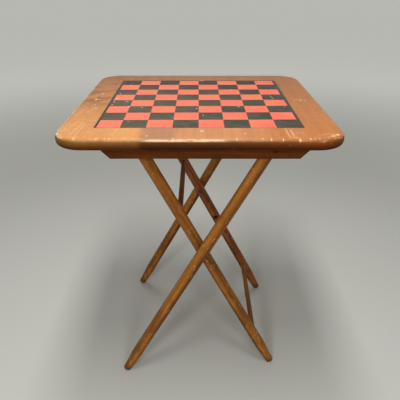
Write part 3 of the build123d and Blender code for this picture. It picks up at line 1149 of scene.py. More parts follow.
        colour = sheet.blend(nicks, colour, self.primer, strength=0.95)
        lines = marks_mask(sheet, SCRATCHES, vector, ragged)
        colour = sheet.blend(lines, colour, self.bare, strength=0.55)
        chips = marks_mask(sheet, EDGE_CHIPS, vector, ragged)
        colour = sheet.blend(chips, colour, self.bare, strength=0.8)
        rough = sheet.between(sheet.cloud(vector, 26.0, detail=4.0), 0.34, 0.50)
        rough = sheet.math("MULTIPLY_ADD", sheet.strongest([nicks, chips]), 0.25, rough)
        matt = sheet.step(height, layout.underside + 0.010, layout.underside + 0.005)
        rise = sheet.math("MULTIPLY_ADD", brush, 0.12, sheet.times(painted, 0.6))
        rise = sheet.math("MULTIPLY_ADD", sheet.cloud(vector, 55.0, detail=3.0), 0.5, rise)
        rise = sheet.math("SUBTRACT", rise, sheet.math("MAXIMUM", scratch, flecks))
        bump = sheet.add("Bump", {"Strength": 0.5, "Distance": self.relief, "Height": rise})
        sheet.fill(shader, {
            "Base Color": colour,
            "Roughness": sheet.math("MAXIMUM", rough, matt),
            "Coat Weight": sheet.times(sheet.between(rubbed, 0.32, 0.18), upper),
            "Normal": bump.outputs[0],
            "Coat Roughness": self.coat_rough,
            "Specular IOR Level": self.sheen_level,
        })
        return material


LEG_FINISH = WoodFinish(
    name="honey_dowel",
    pale=tone(202, 132, 44),
    middle=tone(162, 100, 24),
    dark=tone(104, 62, 10),
    bare=tone(236, 190, 132),
    grime=tone(84, 50, 18),
    scratch_amount=0.7,
    nick_amount=0.16,
    foot_grime=0.022,
)
REAR_LEG_FINISH = WoodFinish(
    name="red_dowel",
    pale=tone(188, 114, 46),
    middle=tone(158, 88, 30),
    dark=tone(108, 54, 14),
    bare=tone(222, 168, 114),
    grime=tone(72, 38, 16),
    scratch_amount=0.6,
    nick_amount=0.14,
    foot_grime=0.022,
)
# Painted shade: the top and upper rungs, in the shade under the top, take this duller, redder copy of the leg
# wood.
RUNG_FINISH = WoodFinish(
    name="shaded_rung",
    pale=tone(178, 112, 62),
    middle=tone(158, 94, 48),
    dark=tone(122, 68, 30),
    bare=tone(170, 122, 74),
    grime=tone(66, 34, 16),
    coat=0.0,
    sheen_level=0.1,
)
BATTEN_FINISH = WoodFinish(
    name="dark_batten",
    pale=tone(132, 70, 12),
    middle=tone(104, 52, 4),
    dark=tone(78, 36, 2),
    bare=tone(170, 108, 58),
    grime=tone(56, 26, 6),
    coat=0.02,
    sheen_level=0.1,
    nick_amount=0.04,
)
CLEAT_FINISH = WoodFinish(
    name="plain_cleat",
    pale=tone(176, 122, 74),
    middle=tone(152, 100, 56),
    dark=tone(122, 76, 40),
    bare=tone(206, 160, 112),
    grime=tone(80, 52, 30),
    coat=0.05,
    gloss=0.5,
    dull=0.7,
)
SCREW_FINISH = SteelFinish("old_screw_steel", tone(120, 88, 62), tone(98, 56, 34), 0.8)
WASHER_FINISH = SteelFinish("old_washer_steel", tone(124, 108, 88), tone(78, 58, 42), 0.6)


def lathe(profile: Profile, steps: int = 48) -> bmesh.types.BMesh:
    """Turns a profile round the Z axis.

    Args:
        profile: Radius and height of each point, from the bottom up.
        steps: How many flats make the full turn.

    Returns:
        The closed turned shape.
    """
    mesh = bmesh.new()
    verts = [mesh.verts.new((radius, 0.0, level)) for radius, level in profile]
    edges = [mesh.edges.new(pair) for pair in zip(verts, verts[1:])]
    turn = {"cent": ORIGIN, "axis": (0, 0, 1), "angle": math.tau}
    bmesh.ops.spin(mesh, geom=verts + edges, steps=steps, use_merge=True, **turn)
    bmesh.ops.remove_doubles(mesh, verts=mesh.verts, dist=TINY)
    bmesh.ops.recalc_face_normals(mesh, faces=mesh.faces)
    return mesh


def moved(mesh: bmesh.types.BMesh, matrix: Matrix) -> bmesh.types.BMesh:
    """Moves a whole shape by a matrix and hands it back."""
    bmesh.ops.transform(mesh, matrix=matrix, verts=mesh.verts)
    return mesh


def arc(centre: Spot, radius: float, start: float, end: float, count: int) -> Profile:
    """Points on an arc of a profile.

    Args:
        centre: The arc's centre, as radius and height.
        radius: The arc's own radius.
        start: Where it starts, in degrees.
        end: Where it ends, in degrees.
        count: How many steps it has.

    Returns:
        The arc's points.
    """
    angles = [math.radians(start + (end - start) * i / count) for i in range(count + 1)]
    return [(centre[0] + radius * math.cos(a), centre[1] + radius * math.sin(a)) for a in angles]


def drill(diameter: float, start: Place, end: Place, steps: int = 32) -> bmesh.types.BMesh:
    """A round cutter between two places.

    Args:
        diameter: Its diameter.
        start: Where its axis starts.
        end: Where its axis ends.
        steps: How many flats it has.

    Returns:
        The cutter.
    """
    run = Vector(end) - Vector(start)
    cutter = lathe([(0.0, 0.0), (diameter / 2, 0.0), (diameter / 2, run.length), (0.0, run.length)], steps)
    return moved(cutter, Matrix.Translation(start) @ run.to_track_quat("Z", "Y").to_matrix().to_4x4())


def carved(mesh: bmesh.types.BMesh, cutters: list[bmesh.types.BMesh]) -> bmesh.types.BMesh:
    """Cuts shapes out of another.

    Args:
        mesh: The shape to cut.
        cutters: The shapes to take away, which don't meet each other.

    Returns:
        What is left of the shape.
    """
    blanks = []
    for part in (mesh, *cutters):
        data = bpy.data.meshes.new("blank")
        part.to_mesh(data)
        part.free()
        blank = bpy.data.objects.new("blank", data)
        bpy.context.scene.collection.objects.link(blank)
        blanks.append(blank)
    body, *tools = blanks
    for tool in tools:
        cut = body.modifiers.new("cut", "BOOLEAN")
        cut.operation, cut.solver, cut.object = "DIFFERENCE", "EXACT", tool
    graph = bpy.context.evaluated_depsgraph_get()
    data = bpy.data.meshes.new_from_object(body.evaluated_get(graph))
    result = bmesh.new()
    result.from_mesh(data)
    bpy.data.meshes.remove(data)
    for blank in blanks:
        old = blank.data
        bpy.data.objects.remove(blank)
        bpy.data.meshes.remove(old)
    bmesh.ops.remove_doubles(result, verts=result.verts, dist=TINY)
    return result


def piece(
    mesh: bmesh.types.BMesh,
    name: str,
    material: bpy.types.Material,
    body: Body,
    slot: Slot,
    *nodes: str,
) -> None:
    """Makes a shape into a finished piece on its body.

    Args:
        mesh: The shape.
        name: The piece's name.
        material: Its finish.
        body: The body that it moves with.
        slot: The record's slot for the piece's finish; not used.
        nodes: The CAD nodes that it stands for.
    """
    data = bpy.data.meshes.new(name)
    bmesh.ops.recalc_face_normals(mesh, faces=mesh.faces)
    mesh.to_mesh(data)
    mesh.free()
    data.polygons.foreach_set("use_smooth", [True] * len(data.polygons))
    data.set_sharp_from_angle(angle=SMOOTH_ANGLE)
    data.materials.append(material)
    made = bpy.data.objects.new(name, data)
    bpy.context.scene.collection.objects.link(made)
    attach(made, body.value)
    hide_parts(*nodes)
    log.info("%s: %d faces, rides on %s", name, len(data.polygons), body.value)


def joined(parts: list[bmesh.types.BMesh]) -> bmesh.types.BMesh:
    """Puts several shapes into one.

    Args:
        parts: The shapes, which are used up.

    Returns:
        The joined shape.
    """
    whole = bmesh.new()
    for part in parts:
        data = bpy.data.meshes.new("part")
        part.to_mesh(data)
        part.free()
        whole.from_mesh(data)
        bpy.data.meshes.remove(data)
    return whole


def hand_worn(
    mesh: bmesh.types.BMesh,
    middle: Matrix,
    depth: float,
    seed: int,
    wave_scale: float = 28.0,
    knock_scale: float = 95.0,
    knock_level: float = 0.38,
    knock_gain: float = 3.0,
    wave_share: float = 0.25,
) -> None:
    """Pushes a round bar's skin in a little, unevenly, as hands and knocks do.

    Args:
        mesh: The bar, along the Z axis of its own frame.
        middle: The bar's own frame.
        depth: The deepest push.
        seed: Which pattern of knocks it has.
        wave_scale: How close the broad waves are.
        knock_scale: How close the knocks are.
        knock_level: How much of the skin they leave alone.
        knock_gain: How much deeper they are than the waves.
        wave_share: The waves' part of the depth.
    """
    shift = Vector((seed * 3.1, seed * 1.7, seed * 5.3))
    back = middle.inverted()
    for vert in mesh.verts:
        local = back @ vert.co
        radial = Vector((local.x, local.y, 0.0))
        if radial.length < TINY:
            continue
        wide = noise.noise(local * wave_scale + shift)
        knock = max(0.0, noise.noise(local * knock_scale + shift) - knock_level) * knock_gain
        push = depth * min(1.0, wave_share * (1.0 + wide) + knock)
        local -= radial.normalized() * push
        vert.co = middle @ local


def sawn(
    screw: bmesh.types.BMesh,
    head: float,
    depth: float,
    place: Matrix,
    length: float = 1.4,
    width: float = 0.14,
) -> bmesh.types.BMesh:
    """Saws a slot across a screw's head.

    Args:
        screw: The screw.
        head: The head's diameter.
        depth: The slot's depth.
        place: The slot's own frame, at the head's face.
        length: The cutter's length, as a share of the head.
        width: The slot's width, as a share of the head.

    Returns:
        The slotted screw.
    """
    slot = bmesh.new()
    bmesh.ops.create_cube(slot, size=1.0)
    size = Matrix.Diagonal((head * length, head * width, 2 * depth, 1.0))
    return carved(screw, [moved(slot, place @ size)])


@dataclass
class SlottedScrew:
    """A round-headed pivot screw with a slot, along Z, its head's seat at the origin."""

    diameter: float
    head_diameter: float
    head_height: float
    length: float
    tip: float = 0.003
    rim_share: float = 0.45
    slot_share: float = 0.45
    slot_turn: float = 0.5
    dome_steps: int = 8

    def shape(self) -> bmesh.types.BMesh:
        """Turns the screw and saws its slot.

        Returns:
            The screw's mesh.
        """
        radius, head = self.diameter / 2, self.head_diameter / 2
        rim = self.head_height * self.rim_share
        dome = []
        for step in range(self.dome_steps):
            angle = math.radians(90 * step / self.dome_steps)
            dome.append((head * math.cos(angle), rim + (self.head_height - rim) * math.sin(angle)))
        dome.append((0.0, self.head_height))
        shank = [(0.0, -self.length), (radius, self.tip - self.length), (radius, 0.0)]
        edge = [(head - EDGE_EASE, 0.0), (head, EDGE_EASE)]
        turned = lathe(shank + edge + dome, 40)
        place = Matrix.Translation((0, 0, self.head_height)) @ Matrix.Rotation(self.slot_turn, 4, "Z")
        return sawn(turned, self.head_diameter, self.head_height * self.slot_share, place)


@dataclass
class WoodScrew:
    """A countersunk wood screw along Z, driven up, with its flat head at the origin."""

    head_depth: float
    diameter: float = 0.004
    head_diameter: float = 0.008
    cone: float = 0.0024
    thread: float = 0.012
    tip: float = 0.003
    pitch: float = 0.0018
    thread_depth: float = 0.0005
    slot_share: float = 0.45

    def shape(self) -> bmesh.types.BMesh:
        """Turns the screw with its threads and saws its slot.

        Returns:
            The screw's mesh.
        """
        radius, head = self.diameter / 2, self.head_diameter / 2
        length = self.head_depth + self.thread
        points = [(0.0, 0.0), (head - EDGE_EASE, 0.0), (head, EDGE_EASE), (radius, self.cone)]
        level = self.head_depth
        points.append((radius, level))
        while level + self.pitch < length - self.tip:
            points.append((radius - self.thread_depth, level + self.pitch / 2))
            points.append((radius, level + self.pitch))
            level += self.pitch
        points += [(radius * 0.85, length - self.tip), (0.0, length)]
        return sawn(lathe(points, 28), self.head_diameter, self.cone * self.slot_share, Matrix())


@dataclass
class Washer:
    """A flat washer on the Y axis, centred on the origin."""

    bore: float
    rim: float
    thickness: float
    ease: float = 0.00015

    def shape(self) -> bmesh.types.BMesh:
        """Turns the washer with eased edges.

        Returns:
            The washer's mesh.
        """
        half, ease = self.thickness / 2, self.ease
        inner, outer = self.bore / 2, self.rim / 2
        profile = [
            (inner + ease, -half), (outer - ease, -half), (outer, -half + ease), (outer, half - ease),
            (outer - ease, half), (inner + ease, half), (inner, half - ease), (inner, -half + ease),
            (inner + ease, -half),
        ]
        return moved(lathe(profile), Matrix.Rotation(math.pi / 2, 4, "X"))


@dataclass
class TopAssembly:
    """The painted board with its battens, stop cleats and wood screws."""

    layout: Layout
    rim_step: float = 0.002
    rim_depth: float = 0.018
    inner_step: float = 0.0375
    seed: int = 7
    dent_depth: float = 0.0009
    dent_spread: Spot = (1.3, 1.8)
    dent_lean: float = 0.7
    wave_depth: float = 0.00035
    wave_scale: float = 120.0
    batten_grain: Place = (0.3, 0.2, 0.6)
    cleat_grain: Place = (-0.2, 0.127, 0.6)

    def board_shape(self) -> bmesh.types.BMesh:
        """The board with round corners, rounded edges and real dents in its rim.

        Returns:
            The board's mesh.
        """
        layout = self.layout
        mesh = bmesh.new()
        bmesh.ops.create_cube(mesh, size=1.0)
        size = Matrix.Diagonal((layout.top_length, layout.top_width, layout.top_thickness, 1.0))
        moved(mesh, Matrix.Translation((0, 0, layout.table_height - layout.top_thickness / 2)) @ size)
        upright = [e for e in mesh.edges if abs(e.verts[0].co.z - e.verts[1].co.z) > TINY]
        bmesh.ops.bevel(mesh, geom=upright, offset=layout.top_corner, segments=32, **ROUNDING)
        for level, radius, segments in (
            (layout.table_height, layout.top_arris, 7),
            (layout.underside, layout.under_edge, 5),
        ):
            loop = [e for e in mesh.edges if all(abs(v.co.z - level) < TINY for v in e.verts)]
            bmesh.ops.bevel(mesh, geom=loop, offset=radius, segments=segments, **ROUNDING)
        self.cut_grid(mesh)
        self.dent(mesh)
        return carved(mesh, self.pilot_drills())

    def cut_grid(self, mesh: bmesh.types.BMesh) -> None:
        """Cuts the rim finely and the middle coarsely, so that the rim can take dents.

        Args:
            mesh: The board.
        """
        halves = (self.layout.top_length / 2, self.layout.top_width / 2)
        normals = (Vector((1.0, 0.0, 0.0)), Vector((0.0, 1.0, 0.0)))
        for normal, half in zip(normals, halves):
            for sign in (-1, 1):
                geometry = mesh.verts[:] + mesh.edges[:] + mesh.faces[:]
                place = normal * sign * (half - self.rim_depth)
                bmesh.ops.bisect_plane(mesh, geom=geometry, plane_co=place, plane_no=normal)
        for axis, (normal, half) in enumerate(zip(normals, halves)):
            other, reach = 1 - axis, halves[1 - axis] - self.rim_depth
            for spacing, in_rim in ((self.rim_step, True), (self.inner_step, False)):
                count = int(half / spacing)
                for index in range(-count, count + 1):
                    faces = [
                        f for f in mesh.faces
                        if (abs(f.calc_center_median()[other]) > reach) == in_rim
                        and min(v.co[axis] for v in f.verts) < index * spacing - TINY
                        and max(v.co[axis] for v in f.verts) > index * spacing + TINY
                    ]
                    if not faces:
                        continue
                    edges = {e for f in faces for e in f.edges}
                    verts = {v for f in faces for v in f.verts}
                    place, geometry = normal * index * spacing, [*verts, *edges, *faces]
                    bmesh.ops.bisect_plane(mesh, geom=geometry, plane_co=place, plane_no=normal)

    def dent(self, mesh: bmesh.types.BMesh) -> None:
        """Presses the chips of the rim and its slight waviness into the mesh.

        Args:
            mesh: The board.
        """
        layout = self.layout
        half_length, half_width = layout.top_length / 2, layout.top_width / 2
        centre = Vector((0.0, 0.0, layout.table_height - layout.top_thickness / 2))
        for vert in mesh.verts:
            x, y, z = vert.co
            near_rim = min(half_length - abs(x), half_width - abs(y))
            if near_rim > self.rim_depth - TINY or z < layout.underside + layout.under_edge:
                continue
            inwards = (centre - vert.co) * Vector((1.0, 1.0, 0.0))
            inwards = self.dent_lean * (inwards.normalized() + Vector((0.0, 0.0, -1.0)))
            push = 0.0
            rounded = z > layout.table_height - layout.top_arris - TINY
            for chip in EDGE_CHIPS if rounded else ():
                wide, deep = self.dent_spread
                along = (x - chip.x) / (chip.half_length * wide)
                reach = math.hypot(along, (y - chip.y) / (chip.half_width * deep))
                if reach < 1.0:
                    push = max(push, self.dent_depth * (1 - reach**2))
            if rounded and near_rim < layout.top_arris:
                push += max(0.0, noise.noise(vert.co * self.wave_scale)) * self.wave_depth
            vert.co += inwards * push

    def pilot_drills(self) -> list[bmesh.types.BMesh]:
        """The cutters of the screws' pilot holes in the board.

        Returns:
            The cutters.
        """
        layout, past = self.layout, 0.002
        rows = [(x, layout.batten_middle) for x in layout.batten_screws]
        rows += [(x, layout.cleat_middle) for x in layout.cleat_screws]
        low, high = layout.underside - past, layout.underside + layout.pilot_depth
        spots = [(x, side.value * y) for side in Side for x, y in rows]
        return [drill(layout.pilot_bore, (*spot, low), (*spot, high), 20) for spot in spots]

    def screw_way(self, x: float, y: float, head_depth: float, bottom: float) -> bmesh.types.BMesh:
        """The cutter of a screw's bore, countersink and deep head hole.

        Args:
            x: The screw's place across the table.
            y: Its distance from the centre line, negative in front.
            head_depth: How far above its head the board's underside is.
            bottom: Height of the wood's lower face.

        Returns:
            The cutter.
        """
        layout = self.layout
        wide, narrow, level = layout.head_way_radius, layout.way_radius, layout.underside - head_depth
        low, high = bottom - 0.003, layout.underside + 0.002
        profile = [(0.0, low), (wide, low), (wide, level), (narrow, level + layout.head_way_cone)]
        profile += [(narrow, high), (0.0, high)]
        return moved(lathe(profile, 32), Matrix.Translation((x, y, 0.0)))

    def bar_from_outline(self, outline: Profile, near: float, far: float) -> bmesh.types.BMesh:
        """A flat outline in X and Z drawn out between two places along Y.

        Args:
            outline: The X and Z of each corner.
            near: Where it starts along Y.
            far: Where it ends along Y.

        Returns:
            The bar.
        """
        mesh = bmesh.new()
        verts = [mesh.verts.new((x, near, z)) for x, z in outline]
        face = mesh.faces.new(verts)
        grown = bmesh.ops.extrude_face_region(mesh, geom=[face])["geom"]
        ends = [part for part in grown if isinstance(part, bmesh.types.BMVert)]
        bmesh.ops.translate(mesh, vec=(0, far - near, 0), verts=ends)
        bmesh.ops.recalc_face_normals(mesh, faces=mesh.faces)
        return mesh

    def ease_below(self, mesh: bmesh.types.BMesh, ease: float) -> None:
        """Rounds every edge that lies clear of the board's underside.

        Args:
            mesh: The bar.
            ease: The rounding's radius.
        """
        edges = [e for e in mesh.edges if min(v.co.z for v in e.verts) < self.layout.underside - TINY]
        bmesh.ops.bevel(mesh, geom=edges, offset=ease, segments=3, **ROUNDING)

    def batten_shape(self, side: Side) -> bmesh.types.BMesh:
        """A batten with its ends cut away below, its pivot bore and its screw holes.

        Args:
            side: The half of the table that it is on.

        Returns:
            The batten's mesh.
        """
        layout = self.layout
        left = layout.batten_left_overhang - layout.top_length / 2
        right = layout.top_length / 2 - layout.batten_right_overhang
        bottom = layout.underside - layout.batten_height
        outline = [
            (left, layout.underside), (right, layout.underside),
            (right - layout.batten_end_cut, bottom), (left + layout.batten_end_cut, bottom),
        ]
        inner, outer = side.value * layout.batten_inner, side.value * layout.batten_outer
        mesh = self.bar_from_outline(outline, inner, outer)
        self.ease_below(mesh, layout.batten_ease)
        x, z, past = layout.pivot_x, layout.pivot_height, side.value * 0.003
        head_bore, head_depth = layout.pivot_head_bore
        sunk = outer - side.value * head_depth
        cutters = [
            drill(layout.screw_bore, (x, inner - past, z), (x, sunk + past / 6, z)),
            drill(head_bore, (x, sunk, z), (x, outer + past, z)),
        ]
        middle = side.value * layout.batten_middle
        cutters += [self.screw_way(p, middle, layout.batten_head_depth, bottom) for p in layout.batten_screws]
        return carved(mesh, cutters)

    def cleat_shape(self, side: Side) -> bmesh.types.BMesh:
        """A stop cleat with its bird's mouth for the top rung.

        Args:
            side: The half of the table that it is on.

        Returns:
            The cleat's mesh.
        """
        layout = self.layout
        rung_x, rung_z = layout.top_rung
        hold = layout.top_rung_diameter / 2 + layout.cleat_seat_gap
        slope = math.tan(layout.inner_tilt)
        wall = rung_x - hold
        contact_x = rung_x - hold * math.sin(layout.inner_tilt)
        contact_z = rung_z + hold * math.cos(layout.inner_tilt)
        left, right, bottom = wall - layout.cleat_left, wall + layout.cleat_right, rung_z - layout.cleat_lip
        outline = [(left, layout.underside), (right, layout.underside)]
        outline += [(x, contact_z + (x - contact_x) * slope) for x in (right, wall)]
        outline += [
            (wall, bottom), (left + layout.cleat_corner_cut, bottom), (left, bottom + layout.cleat_corner_cut)
        ]
        far = side.value * layout.cleat_outer
        mesh = self.bar_from_outline(outline, far - side.value * layout.cleat_thickness, far)
        self.ease_below(mesh, layout.cleat_ease)
        middle, depth = far - side.value * layout.cleat_thickness / 2, layout.cleat_head_depth
        return carved(mesh, [self.screw_way(p, middle, depth, bottom) for p in layout.cleat_screws])

    def wood_screws(self, places: list[float], y: float, head_depth: float) -> bmesh.types.BMesh:
        """Equal wood screws in a front row and a rear row, each slot turned its own way.

        Args:
            places: Where they stand across the table.
            y: The rows' distance from the centre line.
            head_depth: How far above a head the board's underside is.

        Returns:
            All the screws in one mesh.
        """
        dice = random.Random(self.seed)
        level = self.layout.underside - head_depth
        screws = []
        for side in Side:
            for x in places:
                turn = Matrix.Rotation(dice.uniform(0, math.pi), 4, "Z")
                place = Matrix.Translation((x, side.value * y, level)) @ turn
                screws.append(moved(WoodScrew(head_depth).shape(), place))
        return joined(screws)

    def build(self) -> None:
        """Makes every piece of the top."""
        layout = self.layout
        board = BoardFinish(layout).material()
        piece(self.board_shape(), "playing_board", board, Body.TOP, Slot.TOP_WOOD, "top_board")
        steel = SCREW_FINISH.material()
        for side in Side:
            starts = [(x, side.value * y, z) for x, y, z in (self.batten_grain, self.cleat_grain)]
            batten = BATTEN_FINISH.material(Grain(starts[0]), side.word)
            cleat = CLEAT_FINISH.material(Grain(starts[1]), side.word)
            piece(
                self.batten_shape(side), f"{side.word}_batten_rail", batten,
                Body.TOP, Slot.BATTEN_WOOD, f"{side.word}_batten",
            )
            piece(
                self.cleat_shape(side), f"{side.word}_cleat_block", cleat,
                Body.TOP, Slot.CLEAT_WOOD, f"{side.word}_stop_cleat",
            )
        rows = (
            ("batten", layout.batten_screws, layout.batten_middle, layout.batten_head_depth),
            ("cleat", layout.cleat_screws, layout.cleat_middle, layout.cleat_head_depth),
        )
        for word, places, y, depth in rows:
            shape = self.wood_screws(places, y, depth)
            piece(shape, f"{word}_wood_screws", steel, Body.TOP, Slot.SCREW_STEEL, f"{word}_screws")


@dataclass
class DowelLeg:
    """One round leg with its tapered foot, leaned over at its place."""

    layout: Layout
    foot_x: float
    y: float
    lean: float
    last_pivot: float
    seed: int
    ring_step: float = 0.008
    steps: int = 64
    taper_steps: int = 8
    wear: float = 0.0003

    @property
    def matrix(self) -> Matrix:
        """The leg's own frame, with Z along it and the floor at its origin."""
        return Matrix.Translation((self.foot_x, self.y, 0.0)) @ Matrix.Rotation(self.lean, 4, "Y")

    @property
    def grain(self) -> Grain:
        """The frame of the leg's grain, with X along it, and the side that takes painted shade."""
        turn = (0.0, self.lean - math.pi / 2, 0.0)
        return Grain((self.foot_x, self.y, 0.0), turn, -math.copysign(1.0, self.lean))

    def profile(self) -> Profile:
        """Finds the leg's outline: an eased taper at the foot, a long bar and a rounded end.

        Returns:
            Radius and height of each point.
        """
        layout = self.layout
        foot, leg = layout.foot_diameter / 2, layout.leg_radius
        flat = foot - layout.foot_edge
        low = (flat * math.sin(abs(self.lean)) - layout.foot_wear) / math.cos(self.lean)
        high = self.last_pivot + layout.leg_end
        points = [(0.0, low), (flat, low)]
        points += arc((flat, low + layout.foot_edge), layout.foot_edge, -75, 0, 5)
        start, end = low + layout.foot_edge, low + layout.foot_taper
        for step in range(1, self.taper_steps + 1):
            share = step / self.taper_steps
            points.append((foot + (leg - foot) * share, start + (end - start) * share))
        rings = max(1, round((high - layout.leg_end_round - end) / self.ring_step))
        span = (high - layout.leg_end_round - end) / rings
        points += [(leg, end + span * ring) for ring in range(1, rings + 1)]
        ease = layout.leg_end_round
        points += arc((leg - ease, high - ease), ease, 18, 90, 4)
        return points + [(0.0, high)]

    def socket(self, along: float, diameter: float, start: float, end: float) -> bmesh.types.BMesh:
        """A cutter across the leg, between two distances from its axis along Y.

        Args:
            along: Length along the leg from the floor.
            diameter: The cutter's diameter.
            start: Where it starts.
            end: Where it ends.

        Returns:
            The cutter.
        """
        cutter = drill(diameter, (0.0, start, along), (0.0, end, along), 40)
        return moved(cutter, self.matrix)

    def shape(self, cutters: list[bmesh.types.BMesh]) -> bmesh.types.BMesh:
        """Turns the leg, stands it on the floor and cuts its holes.

        Args:
            cutters: The cutters of its holes.

        Returns:
            The leg's mesh.
        """
        mesh = moved(lathe(self.profile(), self.steps), self.matrix)
        hand_worn(mesh, self.matrix, self.wear, self.seed)
        geometry = mesh.verts[:] + mesh.edges[:] + mesh.faces[:]
        bmesh.ops.bisect_plane(mesh, geom=geometry, plane_co=ORIGIN, plane_no=(0, 0, -1), clear_outer=True)
        bmesh.ops.holes_fill(mesh, edges=[e for e in mesh.edges if e.is_boundary], sides=0)
        return carved(mesh, cutters)


@dataclass
class OuterLegs:
    """The outer pair of legs with the screws and washers that they carry."""

    layout: Layout
    first_seed: int = 11

    def leg(self, side: Side) -> None:
        """Makes one outer leg with its two blind thread holes.

        Args:
            side: The half of the table that it is on.
        """
        layout, out = self.layout, side.value
        leg = DowelLeg(
            layout,
            foot_x=-layout.outer_reach,
            y=out * layout.outer_leg_y,
            lean=layout.outer_tilt,
            last_pivot=layout.outer_to_pivot,
            seed=self.first_seed + side.index,
        )
        bore, radius = layout.screw_bore, layout.leg_radius
        clear = out * (radius + 0.004)
        cutters = [
            leg.socket(layout.outer_to_pivot, bore, clear, out * (radius - layout.pivot_hole)),
            leg.socket(layout.outer_to_cross, bore, -clear, out * (layout.cross_hole - radius)),
        ]
        material = LEG_FINISH.material(leg.grain, f"outer_{side.word}")
        piece(
            leg.shape(cutters), f"{side.word}_outer_dowel", material,
            Body.OUTER_LEGS, Slot.LEG_WOOD, f"{side.word}_outer_leg",
        )

    def hardware(self, side: Side, screw: bpy.types.Material, plate: bpy.types.Material) -> None:
        """Makes one side's pivot screw, crossing screw and two washers.

        Args:
            side: The half of the table that they are on.
            screw: The screws' finish.
            plate: The washers' finish.
        """
        layout, out, radius = self.layout, side.value, self.layout.leg_radius
        on_legs, half_gap = (Body.OUTER_LEGS, Slot.SCREW_STEEL), layout.washer_gap / 2
        seat = layout.batten_outer - layout.pivot_seat_depth
        tip = layout.outer_leg_y + radius - layout.pivot_reach
        turn = Matrix.Rotation(-out * math.pi / 2, 4, "X")
        place = Matrix.Translation((layout.pivot_x, out * seat, layout.pivot_height)) @ turn
        pivot = SlottedScrew(layout.screw_diameter, *layout.pivot_head, seat - tip).shape()
        piece(moved(pivot, place), f"{side.word}_pivot_bolt", screw, *on_legs, f"{side.word}_top_pivot_screw")
        seat = layout.inner_leg_y - radius + layout.spot_depth - layout.washer_gap
        tip = layout.outer_leg_y - radius + layout.cross_reach
        turn = Matrix.Rotation(out * math.pi / 2, 4, "X")
        place = Matrix.Translation((layout.cross_shift, out * seat, layout.cross_height)) @ turn
        crossing = SlottedScrew(layout.screw_diameter, *layout.cross_head, tip - seat).shape()
        piece(moved(crossing, place), f"{side.word}_cross_bolt", screw, *on_legs, f"{side.word}_cross_screw")
        for word, node, x, y, z in (
            ("batten", "top", layout.pivot_x, layout.outer_leg_y + radius + half_gap, layout.pivot_height),
            ("leg", "cross", layout.cross_shift, layout.outer_leg_y - radius - half_gap, layout.cross_height),
        ):
            ring = Washer(layout.washer_bore, layout.washer_rim, layout.washer_thickness).shape()
            piece(
                moved(ring, Matrix.Translation((x, out * y, z))), f"{side.word}_{word}_washer", plate,
                Body.OUTER_LEGS, Slot.WASHER_STEEL, f"{side.word}_{node}_washer",
            )

    def build(self) -> None:
        """Makes every piece that moves with the outer legs."""
        screw, plate = SCREW_FINISH.material(), WASHER_FINISH.material()
        for side in Side:
            self.leg(side)
            self.hardware(side, screw, plate)


